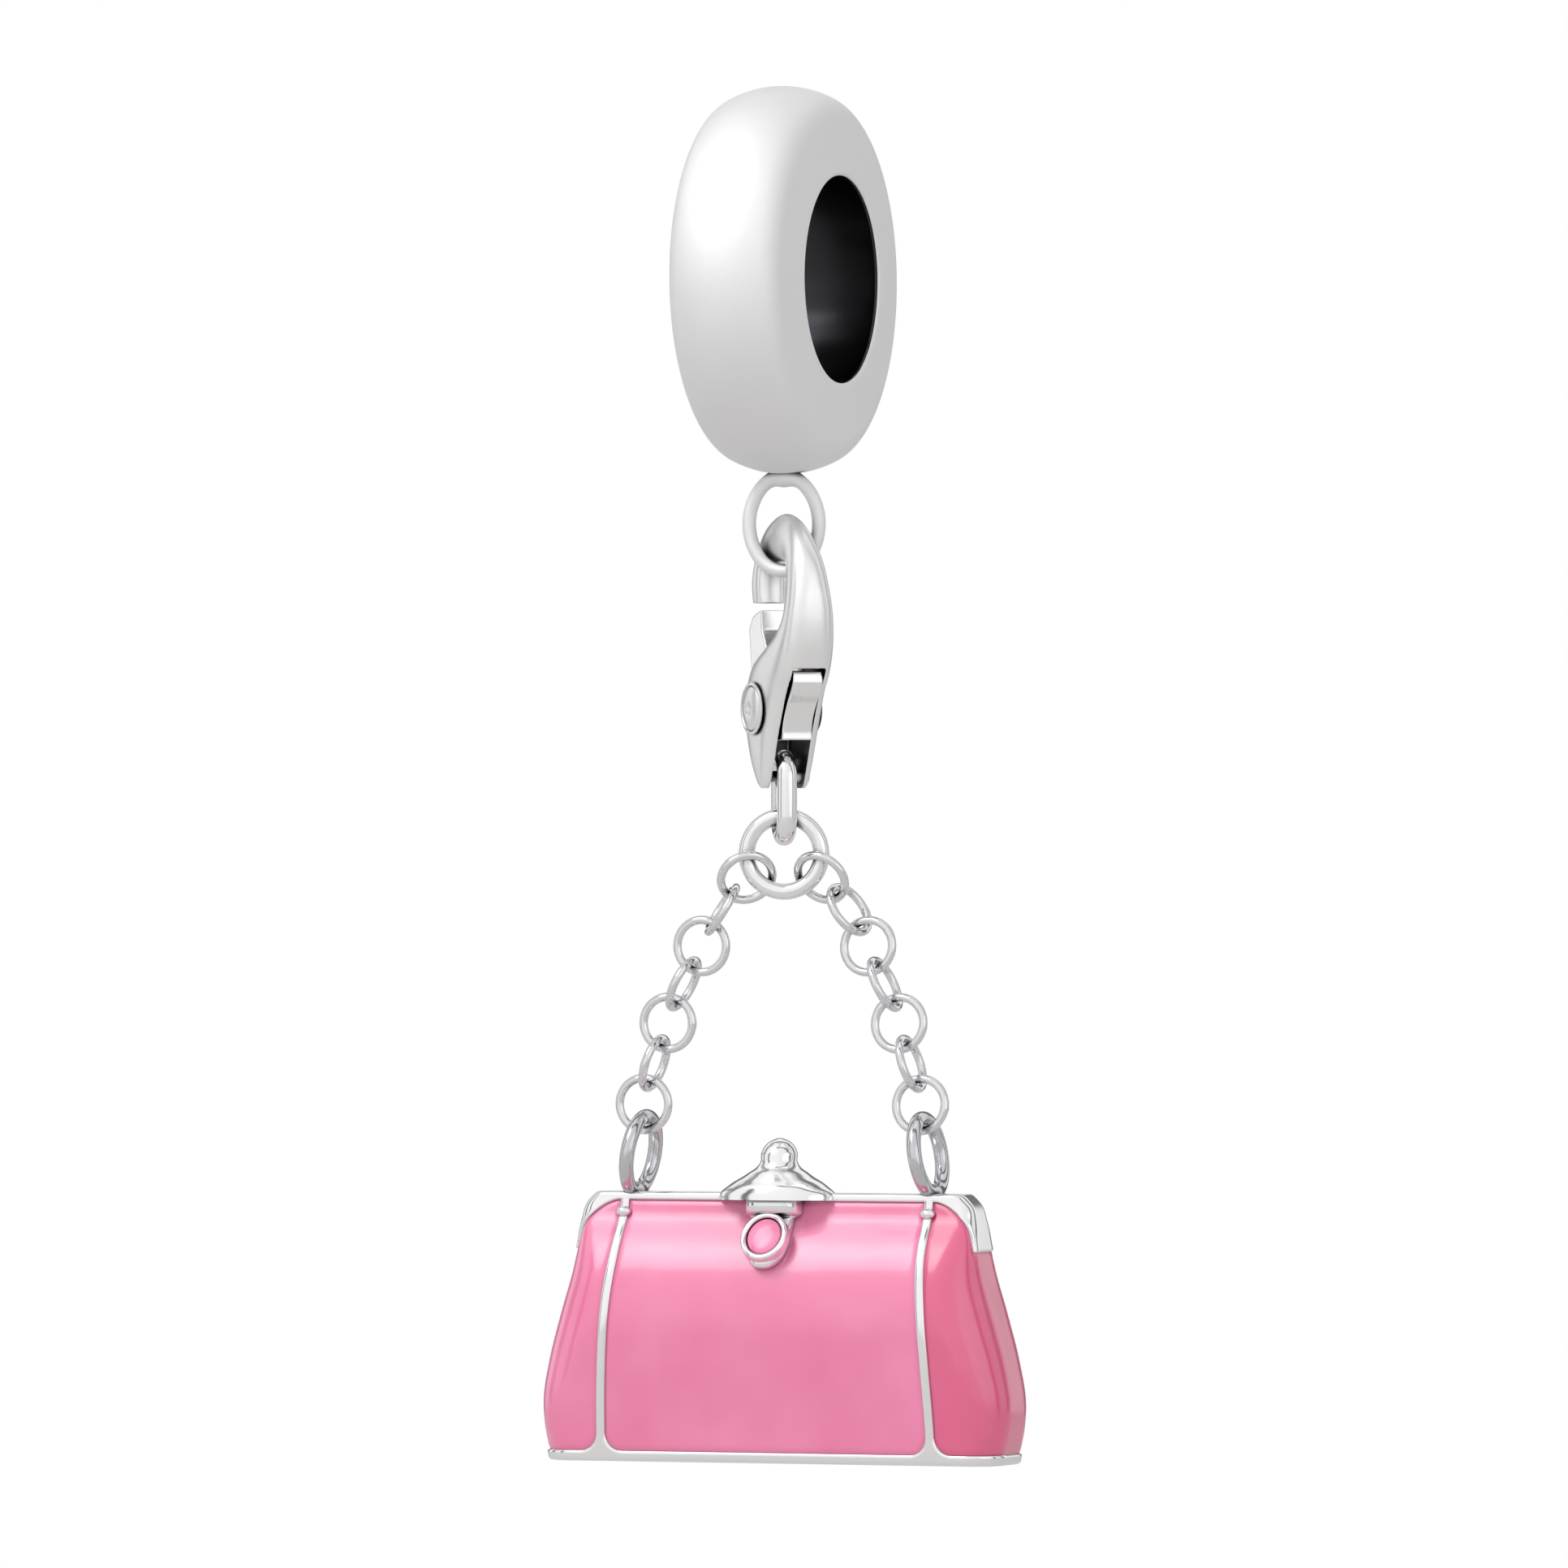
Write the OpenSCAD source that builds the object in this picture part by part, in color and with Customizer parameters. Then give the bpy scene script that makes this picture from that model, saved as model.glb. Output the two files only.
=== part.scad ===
// Dangle charm: a bead with a wide bore, a lobster clasp, two chains and an enamelled handbag.
// The origin is the middle of the bead's bore, +X runs along the bore and -Y is the bag's front.

/* [Carrier bead] */
// Outer diameter of the bead
bead_d = 9.56; // [8.6:0.02:11]
// Bore for the bracelet
bore_d = 5.06; // [4:0.02:5.4]
// Thickness along the bore, at its rim
bead_t = 3.1; // [2.8:0.02:3.8]
// Rise of the barrel's crown over the ridge between side face and barrel
crown_rise = 0.47; // [0.35:0.01:0.6]
// How far the side face falls back from rim to ridge
face_fall = 0.12; // [0.04:0.01:0.2]
// Radius that rounds the ridge
ridge_round = 0.7; // [0.4:0.05:0.9]
// Chamfer on both bore rims
rim_ease = 0.06; // [0.02:0.01:0.12]

/* [Bead loop] */
// Wire of the loop soldered under the bead
loop_wire = 0.34; // [0.26:0.01:0.36]
// Outer width of the loop
loop_w = 2.18; // [2.1:0.02:2.6]
// Outer height of the loop
loop_h = 2.66; // [2.4:0.02:3.2]
// How deep the loop sinks into the bead
loop_sink = 0.1; // [0.06:0.01:0.16]

/* [Clasp] */
// Turn of the clasp about the vertical, from facing front
clasp_turn = 43.3; // [38:0.5:48]
// Height of the claw
claw_h = 6.76; // [6:0.02:7.6]
// Width that the claw's side outline is drawn to
claw_w = 3.4; // [3.2:0.02:3.8]
// Thickness over both cheeks
claw_t = 1.52; // [1.4:0.02:1.8]
// Width of the slot between the cheeks
slot_w = 0.88; // [0.84:0.01:0.92]
// Clearance of the lever on each side in the slot
lever_gap = 0.05; // [0.03:0.01:0.08]
// Rivet shank diameter
rivet_d = 0.6; // [0.4:0.02:0.7]
// Rivet head diameter
rivet_head_d = 1.3; // [1:0.02:1.4]
// How far a rivet head stands proud
rivet_head_h = 0.16; // [0.1:0.01:0.2]
// Running gap round the rivet in the lever
rivet_gap = 0.03; // [0.02:0.01:0.05]
// Cross pin at the tips of the cheeks
pin_d = 0.28; // [0.22:0.01:0.28]

/* [Links] */
// Play left where one link bears on the next
seat = 0.03; // [0.02:0.005:0.05]
// Wire of the oval link on the clasp
bail_wire = 0.5; // [0.44:0.01:0.52]
// Outer width of the oval link
bail_w = 1.5; // [1.46:0.01:1.6]
// Outer height of the oval link
bail_h = 2.38; // [2.2:0.02:2.8]
// Turn of the oval link about the vertical
bail_turn = 29.3; // [28:0.1:31]
// Outer diameter of the drop ring
ring_d = 2.26; // [2.2:0.02:2.4]
// Wire of the drop ring
ring_wire = 0.4; // [0.36:0.01:0.42]
// Turn of the drop ring about the vertical
ring_turn = 12; // [10:0.5:16]

/* [Chains] */
// Outer diameter of a chain link
link_d = 1.5; // [1.46:0.01:1.56]
// Wire of a chain link
link_wire = 0.21; // [0.19:0.005:0.22]
// Links in each chain
links = 7; // [7]
// Lean of a chain from the vertical at the ring
lean_top = 35; // [32:0.5:38]
// Lean of a chain from the vertical at the bag
lean_low = 16; // [14:0.5:20]

/* [Bag] */
// Greatest width, over the lower corners
bag_w = 12.3; // [11.4:0.02:13]
// Greatest depth, front to back
bag_t = 3.12; // [2.9:0.02:3.6]
// Height of the body without kiss lock and eyelets
bag_h = 6.64; // [6:0.02:7.4]
// How far the silver stands over the enamel
metal_proud = 0.06; // [0.03:0.01:0.09]
// Depth of the enamel fills
enamel_t = 0.24; // [0.16:0.01:0.3]
// Gap between an enamel fill and its pocket
fill_gap = 0.02; // [0.01:0.005:0.03]
// Half width of a rib
rib_half = 0.11; // [0.08:0.01:0.15]
// Height of the base sill
sill_h = 0.26; // [0.2:0.01:0.4]
// Height of the top bar on the front
bar_h = 0.2; // [0.14:0.01:0.3]
// Radius of a panel's lower corners
panel_round = 0.45; // [0.3:0.01:0.6]
// How far an end cap comes down the side
cap_drop = 1.42; // [1:0.02:1.8]
// Eyelet ring outer diameter
eyelet_d = 2.22; // [2.1:0.02:2.3]
// Eyelet ring wire
eyelet_wire = 0.36; // [0.3:0.01:0.38]
// Lean of an eyelet towards the middle
eyelet_lean = 9; // [6:0.5:12]

/* [Kiss lock] */
// Width of the ogee base along the bar
ogee_w = 3; // [2.4:0.05:3.4]
// Height of the ogee and its knob over the bar
lock_h = 1.34; // [1.1:0.02:1.6]
// Knob diameter
knob_d = 0.98; // [0.8:0.02:1.1]
// Width of the tab
tab_w = 1.46; // [1.3:0.02:1.6]
// Length of the tab down the front
tab_l = 1.86; // [1.7:0.02:2]
// Thickness of the tab
tab_t = 0.3; // [0.24:0.01:0.36]

/* [Hidden] */
side_names = ["left", "right"];
fine = 96;
wire_fn = 24;
up = [0, 0, 1];

function unit(v) = v / norm(v);
function lerp(a, b, t) = a + (b - a) * t;
function turned(turn) = [cos(turn), sin(turn), 0];
function facing(turn) = [sin(turn), -cos(turn), 0];

// Catmull-Rom value of column c of a table, whose first column is the key
function rise_at(table, k, c) = (table[k + 1][c] - table[k][c]) / (table[k + 1][0] - table[k][0]);
function slope_at(table, k, c) = let (last = len(table) - 1)
    k <= 0 ? rise_at(table, 0, c) : k >= last ? rise_at(table, last - 1, c)
    : let (before = table[k][0] - table[k - 1][0], after = table[k + 1][0] - table[k][0])
        (rise_at(table, k - 1, c) * after + rise_at(table, k, c) * before) / (before + after);
function column_at(table, key, c) =
    let (last = len(table) - 1,
        k = max([0, for (i = [0:last - 1]) if (table[i][0] <= key) i]),
        run = table[k + 1][0] - table[k][0],
        t = (key - table[k][0]) / run)
    (2 * t * t * t - 3 * t * t + 1) * table[k][c] + (t * t * t - 2 * t * t + t) * run * slope_at(table, k, c)
        + (3 * t * t - 2 * t * t * t) * table[k + 1][c] + (t * t * t - t * t) * run * slope_at(table, k + 1, c);

// Lays local x, y and z along the given directions, at a place
module laid(place, x_dir, y_dir, z_dir) {
    multmatrix([for (r = [0:2]) [x_dir[r], y_dir[r], z_dir[r], place[r]]]) children();
}

// Closed surface through rings of equal length, with flat ends
module lofted(rings) {
    n = len(rings[0]);
    m = len(rings);
    sides = [for (j = [0:m - 2], i = [0:n - 1], half = [0, 1]) let (a = j * n + i, b = j * n + (i + 1) % n)
        half == 0 ? [a, b + n, b] : [a, a + n, b + n]];
    low_end = [for (i = [0:n - 1]) i];
    high_end = [for (i = [n - 1:-1:0]) (m - 1) * n + i];
    polyhedron([for (ring = rings, p = ring) p], concat(sides, [low_end, high_end]));
}

module wire_ring(outer_d, wire) {
    rotate_extrude($fn = fine) translate([(outer_d - wire) / 2, 0]) circle(d = wire, $fn = wire_fn);
}

// Oval ring in the plane of x and z
module oval_ring(w, h, wire) {
    straight = h - w;
    rotate([90, 0, 0]) for (s = [0, 1]) mirror([0, s, 0]) {
        translate([0, straight / 2, 0]) rotate_extrude(angle = 180, $fn = fine)
            translate([(w - wire) / 2, 0]) circle(d = wire, $fn = wire_fn);
        for (x = [-1, 1]) translate([x * (w - wire) / 2, straight / 2, 0])
            rotate([90, 0, 0]) cylinder(d = wire, h = straight / 2, $fn = wire_fn);
    }
}

// Oval ring of four arcs in the plane of x and z, without straight sides
module round_oval_ring(w, h, wire) {
    half_w = (w - wire) / 2;
    half_h = (h - wire) / 2;
    end_r = 0.86 * half_w;
    rise = half_h - end_r;
    side_r = (rise * rise + half_w * half_w - end_r * end_r) / (2 * (half_w - end_r));
    shift = side_r - half_w;
    reach = atan2(rise, shift);
    // Each arc stops inside the small ball that joins it to the next one
    stop = 0.06 * wire * 57.3;
    rotate([90, 0, 0]) for (s = [0, 1]) rotate(180 * s) {
        translate([-shift, 0, 0]) rotate(-reach + stop / side_r)
            rotate_extrude(angle = 2 * (reach - stop / side_r), $fn = fine)
            translate([side_r, 0]) circle(d = wire, $fn = wire_fn);
        translate([0, rise, 0]) rotate(reach + stop / end_r)
            rotate_extrude(angle = 180 - 2 * (reach + stop / end_r), $fn = fine)
            translate([end_r, 0]) circle(d = wire, $fn = wire_fn);
        for (m = [0, 1]) mirror([m, 0, 0]) translate([end_r * cos(reach), rise + end_r * sin(reach), 0])
            sphere(d = 1.03 * wire, $fn = wire_fn);
    }
}

// Carrier bead: half profile with x along the bore and y as radius
crown_x = bead_t / 2 - face_fall;
ridge_d = bead_d - 2 * crown_rise;
crown_r = (pow(crown_x, 2) + pow(crown_rise, 2)) / (2 * crown_rise);
crown_at = [0, bead_d / 2 - crown_r];
rim_at = [bead_t / 2, bore_d / 2];
face_dir = unit([crown_x, ridge_d / 2] - rim_at);
face_in = [-face_dir[1], face_dir[0]];
round_from = rim_at + face_in * ridge_round - crown_at;
round_run = -round_from * face_dir
    + sqrt(pow(round_from * face_dir, 2) - round_from * round_from + pow(crown_r - ridge_round, 2));
round_at = crown_at + round_from + face_dir * round_run;
face_end = round_at - face_in * ridge_round;
crown_end = crown_at + unit(round_at - crown_at) * crown_r;

module bead_half_profile() {
    core_r = bore_d / 2 - 2 * rim_ease;
    polygon([[0, core_r], [bead_t / 2, core_r], rim_at, face_end, round_at, crown_end, crown_at + [0, crown_r / 2],
        [0, core_r + 2 * rim_ease]]);
    translate(round_at) circle(r = ridge_round, $fn = fine);
    intersection() {
        translate(crown_at) circle(r = crown_r, $fn = fine);
        polygon([[0, core_r], [crown_end[0], core_r], crown_end, crown_end + [0, crown_rise], [0, bead_d / 2 + crown_rise]]);
    }
}

loop_top = -bead_d / 2 + loop_sink;
loop_low = loop_top - loop_h;

module carrier_bead() {
    color("gainsboro") {
        difference() {
            rotate([0, 90, 0]) rotate_extrude($fn = fine * 2) rotate(90) mirror([0, 1])
                for (s = [0, 1]) mirror([s, 0]) bead_half_profile();
            rotate([0, 90, 0]) cylinder(d = bore_d, h = 2 * bead_t, center = true, $fn = fine * 2);
            for (s = [0, 1]) mirror([s, 0, 0]) translate([bead_t / 2 - rim_ease, 0, 0]) rotate([0, 90, 0])
                cylinder(d1 = bore_d, d2 = bore_d + 4 * rim_ease, h = 2 * rim_ease, $fn = fine * 2);
        }
        translate([0, 0, loop_top - loop_h / 2]) round_oval_ring(loop_w, loop_h, loop_wire);
    }
}

// Clasp: local x towards the spine, local y across the cheeks, z down from the claw's top
claw_seat = 0.06;
claw_crown_share = 0.174;
claw_top = loop_low + loop_wire + claw_seat + claw_crown_share * claw_h;
clasp_x = facing(clasp_turn);
clasp_y = -[clasp_x[1], -clasp_x[0], 0];

// Columns: outer x, outer drop, inner x, inner drop, half thickness, squareness of the section.
// x is a share of claw_w, a drop is a share of claw_h and thickness is a share of claw_t / 2.
claw_rows = [
    [-0.394, 0.325, -0.172, 0.325, 0.50, 2.6],
    [-0.403, 0.238, -0.180, 0.250, 0.52, 2.6],
    [-0.352, 0.130, -0.160, 0.193, 0.46, 2.2],
    [-0.190, 0.036, -0.085, 0.174, 0.42, 2.0],
    [0.060, 0.000, 0.045, 0.174, 0.40, 2.0],
    [0.320, 0.041, 0.175, 0.190, 0.44, 2.0],
    [0.500, 0.145, 0.262, 0.240, 0.58, 2.3],
    [0.582, 0.260, 0.300, 0.312, 0.70, 2.4],
    [0.600, 0.364, 0.294, 0.386, 0.80, 2.6],
    [0.582, 0.460, 0.176, 0.445, 0.89, 2.8],
    [0.547, 0.527, -0.029, 0.497, 0.96, 3.0],
    [0.488, 0.589, -0.221, 0.549, 1.00, 3.2],
    [0.388, 0.652, -0.324, 0.630, 1.00, 3.4],
    [0.294, 0.734, -0.347, 0.719, 1.00, 3.6],
    [0.212, 0.822, -0.300, 0.808, 0.97, 3.6],
    [0.140, 0.911, -0.222, 0.904, 0.91, 3.6],
    [0.080, 0.978, -0.126, 0.978, 0.83, 3.2],
    [0.040, 1.000, -0.080, 1.000, 0.74, 3.0],
];
claw_keyed = [for (i = [0:len(claw_rows) - 1]) concat([i], claw_rows[i])];
claw_steps = 34;
claw_sides = 24;

function squircle(t, e) = let (c = cos(t), s = sin(t))
    [sign(c) * pow(abs(c), 2 / e), sign(s) * pow(abs(s), 2 / e)];

function claw_ring(key) =
    let (outer = [column_at(claw_keyed, key, 1) * claw_w, -column_at(claw_keyed, key, 2) * claw_h],
        inner = [column_at(claw_keyed, key, 3) * claw_w, -column_at(claw_keyed, key, 4) * claw_h],
        half_t = column_at(claw_keyed, key, 5) * claw_t / 2,
        e = column_at(claw_keyed, key, 6))
    [for (i = [0:claw_sides - 1]) let (q = squircle(-360 * i / claw_sides, e),
        p = (outer + inner) / 2 + (outer - inner) / 2 * q[0])
        [p[0], half_t * q[1], p[1]]];

rivet_at = [-0.03 * claw_w, 0, -0.71 * claw_h];
pin_drop = claw_h * 0.957;
slot_top = -0.565 * claw_h;
hub_r = 0.235 * claw_w;

module across(h, d) {
    rotate([90, 0, 0]) cylinder(d = d, h = h, center = true, $fn = fine);
}

module in_clasp() {
    laid([0, 0, claw_top], clasp_x, clasp_y, up) children();
}

// Side outline of the slot, open at the bottom and at both edges but for a web behind the lever's foot
module slot_outline() {
    reach = claw_w;
    polygon([[reach, slot_top], [0.33 * claw_w, slot_top], [0.2 * claw_w, -0.49 * claw_h],
        [0.12 * claw_w, -0.36 * claw_h], [-reach, -0.36 * claw_h], [-reach, -0.812 * claw_h],
        [-0.215 * claw_w, -0.812 * claw_h], [-0.215 * claw_w, -0.9 * claw_h], [-reach, -0.9 * claw_h],
        [-reach, -1.1 * claw_h], [reach, -1.1 * claw_h]]);
}

module clasp_body() {
    color("gainsboro") in_clasp() {
        difference() {
            lofted([for (k = [0:claw_steps]) claw_ring(k * (len(claw_rows) - 1) / claw_steps)]);
            rotate([90, 0, 0]) linear_extrude(slot_w, center = true) slot_outline();
            translate(rivet_at) across(2 * claw_t, rivet_d + 0.02);
        }
        translate([0, 0, -pin_drop]) across(slot_w + claw_t / 4, pin_d);
    }
}

// Lever: its nose ends on an arc about the rivet, so that it swings clear of the hook's tip.
// The thumb face swells at its top, then dips into a shallow scoop.
nose_r = 0.366 * claw_h;
thumb_steps = 20;
function thumb_swell(t) = t < 0.45 ? 0.05 * sin(180 * t / 0.45) : -0.035 * sin(180 * (t - 0.45) / 0.55);
thumb_face = [for (k = [0:thumb_steps]) let (t = k / thumb_steps)
    [(0.445 - 0.19 * t + thumb_swell(t)) * claw_w, slot_top - (0.01 + 0.25 * t) * claw_h]];

module lever_outline() {
    difference() {
        polygon(concat([[-0.40 * claw_w, -0.3 * claw_h], [-0.172 * claw_w, -0.3 * claw_h],
            [-0.15 * claw_w, -0.42 * claw_h], [-0.06 * claw_w, -0.50 * claw_h], [0.12 * claw_w, -0.56 * claw_h]],
            thumb_face,
            [[0.12 * claw_w, -0.828 * claw_h], [-0.03 * claw_w, -0.81 * claw_h], [-0.24 * claw_w, -0.78 * claw_h],
            [-0.33 * claw_w, -0.70 * claw_h], [-0.335 * claw_w, -0.6 * claw_h], [-0.37 * claw_w, -0.5 * claw_h],
            [-0.395 * claw_w, -0.42 * claw_h]]));
        difference() {
            translate([-claw_w, -0.5 * claw_h]) square([2 * claw_w, claw_h]);
            translate([rivet_at[0], rivet_at[2]]) circle(r = nose_r, $fn = fine);
        }
    }
}

module clasp_lever() {
    color("silver") in_clasp() difference() {
        rotate([90, 0, 0]) linear_extrude(slot_w - 2 * lever_gap, center = true) lever_outline();
        translate(rivet_at) across(2 * claw_t, rivet_d + 2 * rivet_gap);
    }
}

// The far head lies nearly flush with its cheek
rivet_far_h = 0.4 * rivet_head_h;
module rivet_head(rise) {
    dome_r = (pow(rivet_head_d / 2, 2) + pow(rise, 2)) / (2 * rise);
    intersection() {
        translate([0, claw_t / 2 + rise - dome_r, 0]) sphere(r = dome_r, $fn = fine);
        translate([0, claw_t / 2 + fill_gap + rise / 2, 0]) across(rise, rivet_head_d);
    }
}

module clasp_rivet() {
    color("gainsboro") in_clasp() translate(rivet_at) {
        across(claw_t + rivet_far_h, rivet_d);
        rivet_head(rivet_far_h);
        mirror([0, 1, 0]) rivet_head(rivet_head_h);
    }
}

// Oval link on the pin, and the ring on the oval link
bail_top = claw_top - pin_drop + pin_d / 2 + seat + bail_wire;
bail_low = bail_top - bail_h;
ring_at = [0, 0, bail_low + bail_wire + seat + ring_wire - ring_d / 2];

module clasp_link() {
    color("gainsboro") translate([0, 0, bail_top - bail_h / 2])
        laid([0, 0, 0], facing(bail_turn), turned(bail_turn), up) oval_ring(bail_w, bail_h, bail_wire);
}

module drop_ring() {
    color("silver") laid(ring_at, turned(ring_turn), up, facing(ring_turn)) wire_ring(ring_d, ring_wire);
}

// Chains: the first link wraps the drop ring low on its side and is rolled across its wire
first_down = 58;
first_out = 0.17;
first_roll = 38;
link_r = (link_d - link_wire) / 2;
ring_r = (ring_d - ring_wire) / 2;
pitch = 2 * link_r - link_wire - seat * 0.8;
ring_x = turned(ring_turn);

function first_axis(side) = side * sin(first_down) * ring_x - cos(first_down) * up;
function first_cross(side) = (side * cos(first_down) * ring_x + sin(first_down) * up) * cos(first_roll)
    + facing(ring_turn) * sin(first_roll);
function second_dir(side) = let (swing = first_down - lean_top)
    cos(swing) * first_axis(side) - sin(swing) * first_cross(side);
function lean_at(i) = lerp(lean_top, lean_low, (i - 1) / (links - 2));
function step_dir(side, i, y_step) = let (run = sqrt(pow(pitch, 2) - pow(y_step, 2)))
    [side * run * sin(lean_at(i)), y_step, -run * cos(lean_at(i))];
function link_places(side) =
    let (first = ring_at + first_axis(side) * (ring_r + first_out),
        second = first + pitch * second_dir(side),
        y_step = -second[1] / (links - 2))
    [for (i = 0, p = first; i < links;
        i = i + 1, p = i == 1 ? second : p + step_dir(side, i, y_step)) p];
function link_along(side, i) = let (p = link_places(side))
    i == 0 ? first_axis(side) : unit(p[min(i + 1, links - 1)] - p[i - 1]);
function link_across(side, i) = let (d = link_along(side, i),
        side_normal = cross(first_axis(side), first_cross(side)),
        toward = i == 1 ? unit(side_normal * sign(side_normal[1]) + [0, 1, 0])
            : i % 2 == 1 ? [0, 1, 0] : cross([0, 1, 0], d))
    i == 0 ? first_cross(side) : unit(toward - d * (toward * d));

module chain_link(side, i) {
    along = link_along(side, i);
    across_dir = link_across(side, i);
    color("silver") laid(link_places(side)[i], along, across_dir, cross(along, across_dir))
        wire_ring(link_d, link_wire);
}

// Eyelets hang on the last links, and the bag hangs on the eyelets
eyelet_r = (eyelet_d - eyelet_wire) / 2;
eyelet_sink = 0.17;
last_at = link_places(1)[links - 1];
eyelet_at = last_at + (link_r + eyelet_r - link_wire / 2 - eyelet_wire / 2 - seat)
    * [sin(eyelet_lean), 0, -cos(eyelet_lean)];
bag_top = eyelet_at[2] - eyelet_d / 2 * cos(eyelet_lean) + eyelet_sink;
bag_low = bag_top - bag_h;

// Levels of the bag from base to top. Columns: share of bag_h, of bag_w / 2, of bag_t / 2,
// and corner radius as a share of the half depth.
bag_levels = [
    [0.00, 0.963, 0.80, 0.62],
    [0.05, 0.974, 0.83, 0.64],
    [0.14, 0.994, 0.87, 0.68],
    [0.22, 1.000, 0.91, 0.72],
    [0.38, 0.972, 0.98, 0.75],
    [0.56, 0.919, 1.00, 0.75],
    [0.72, 0.869, 0.86, 0.70],
    [0.82, 0.849, 0.65, 0.62],
    [0.90, 0.836, 0.42, 0.52],
    [0.96, 0.815, 0.33, 0.45],
    [1.00, 0.775, 0.29, 0.42],
];

// Point of the bag's skin: u runs 0 at the front's middle, 1 at the side, 2 at the back's middle
function skin(u, v, off, side) =
    let (hx = column_at(bag_levels, v, 1) * bag_w / 2,
        hy = column_at(bag_levels, v, 2) * bag_t / 2,
        rc = hy * column_at(bag_levels, v, 3),
        flat = hx - rc,
        arc = rc * PI / 2,
        deep = hy - rc,
        w = u > 1 ? 2 - u : u,
        s = w * (flat + arc + deep),
        a = max(0, min(90, (s - flat) / rc * 180 / PI)),
        x = s < flat ? s : flat + (rc + off) * sin(a),
        y = s < flat ? hy + off : a < 90 ? deep + (rc + off) * cos(a) : flat + arc + deep - s)
    [side * x, (u > 1 ? 1 : -1) * y, bag_low + v * bag_h];

// Where a length across the front falls in u, at a level
function u_of(x, v) =
    let (hx = column_at(bag_levels, v, 1) * bag_w / 2,
        hy = column_at(bag_levels, v, 2) * bag_t / 2,
        rc = hy * column_at(bag_levels, v, 3))
    x / (hx - rc + rc * PI / 2 + hy - rc);

// Ribs: how far from the middle, as shares of bag_w / 2 at a share of bag_h
rib_path = [[0, 0.706], [0.12, 0.704], [0.38, 0.690], [0.57, 0.675], [0.78, 0.656], [1, 0.650]];
v_sill = sill_h / bag_h;
v_bar = 1 - bar_h / bag_h;
v_cap = 1 - cap_drop / bag_h;

function corner_in(v, gap) = let (d = max(0, min(1, (v_sill * bag_h - gap + panel_round - v * bag_h) / panel_round)))
    panel_round * (1 - sqrt(1 - d * d));
function front_edge(v, gap) =
    u_of(column_at(rib_path, v, 1) * bag_w / 2 - rib_half + gap - corner_in(v, gap), v);
function side_edge(v, gap) =
    u_of(column_at(rib_path, v, 1) * bag_w / 2 + rib_half - gap + corner_in(v, gap), v);
function cap_line(a, gap) = let (run = 0.34 + 4 * gap / bag_t, far = min(a, 1 - a) / run)
    gap / bag_h + (far >= 1 ? v_cap : lerp(v_cap, v_bar, sqrt(1 - far * far)));

// Shares along a panel edge, closer together near both ends
function eased(i, n) = (1 - cos(180 * i / n)) / 2;

// Grid of skin points over a panel, at an offset from the skin
function front_grid(off, gap, back, nu, nv) = [for (j = [0:nv]) [for (i = [0:nu])
    let (v = lerp(v_sill - gap / bag_h, v_bar + gap / bag_h, eased(j, nv)),
        k = 2 * eased(i, nu) - 1,
        u = abs(k) * front_edge(v, gap))
    skin(back ? 2 - u : u, v, off, (back ? -1 : 1) * sign(k))]];
function side_grid(off, gap, side, nu, nv) = [for (j = [0:nv]) [for (i = [0:nu])
    let (a = eased(i, nu),
        v = lerp(v_sill - gap / bag_h, cap_line(a, gap), eased(j, nv)),
        edge = side_edge(v, gap))
    skin(lerp(edge, 2 - edge, side > 0 ? a : 1 - a), v, off, side)]];

// Slab between two grids of points, seen from outside the first runs right and up
module slab(outer, inner) {
    nv = len(outer);
    nu = len(outer[0]);
    flat_n = nu * nv;
    sheet = [for (j = [0:nv - 2], i = [0:nu - 2]) let (a = j * nu + i) [a, a + 1, a + nu + 1, a + nu]];
    rim = concat([for (i = [0:nu - 1]) i], [for (j = [1:nv - 1]) j * nu + nu - 1],
        [for (i = [nu - 2:-1:0]) (nv - 1) * nu + i], [for (j = [nv - 2:-1:1]) j * nu]);
    outside = [for (f = sheet, half = [0, 1]) half == 0 ? [f[0], f[2], f[1]] : [f[0], f[3], f[2]]];
    inside = [for (f = outside) [flat_n + f[0], flat_n + f[2], flat_n + f[1]]];
    walls = [for (i = [0:len(rim) - 1], half = [0, 1]) let (a = rim[i], b = rim[(i + 1) % len(rim)])
        half == 0 ? [a, b, b + flat_n] : [a, b + flat_n, a + flat_n]];
    polyhedron(concat([for (row = outer, p = row) p], [for (row = inner, p = row) p]),
        concat(outside, inside, walls));
}

front_cells = [14, 12];
side_cells = [16, 12];

module front_fill(back, over, under, gap) {
    slab(front_grid(over, gap, back, front_cells[0], front_cells[1]),
        front_grid(under, gap, back, front_cells[0], front_cells[1]));
}

module side_fill(side, over, under, gap) {
    slab(side_grid(over, gap, side, side_cells[0], side_cells[1]),
        side_grid(under, gap, side, side_cells[0], side_cells[1]));
}

// Whole silver skin before the pockets are sunk
ring_cells = 18;
module bag_block() {
    quarter = [for (i = [0:ring_cells]) i / ring_cells];
    lofted([for (v = [0, 0.02, 0.05, 0.1, 0.16, 0.24, 0.34, 0.46, 0.58, 0.68, 0.76, 0.83, 0.89, 0.94, 0.975, 1])
        concat([for (t = [0:ring_cells]) skin(2 * t / ring_cells, v, metal_proud, 1)],
            [for (t = [ring_cells - 1:-1:1]) skin(2 * t / ring_cells, v, metal_proud, -1)])]);
}

module pockets() {
    for (back = [false, true]) front_fill(back, enamel_t, -enamel_t - fill_gap, fill_gap);
    for (side = [-1, 1]) side_fill(side, enamel_t, -enamel_t - fill_gap, fill_gap);
}

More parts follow.
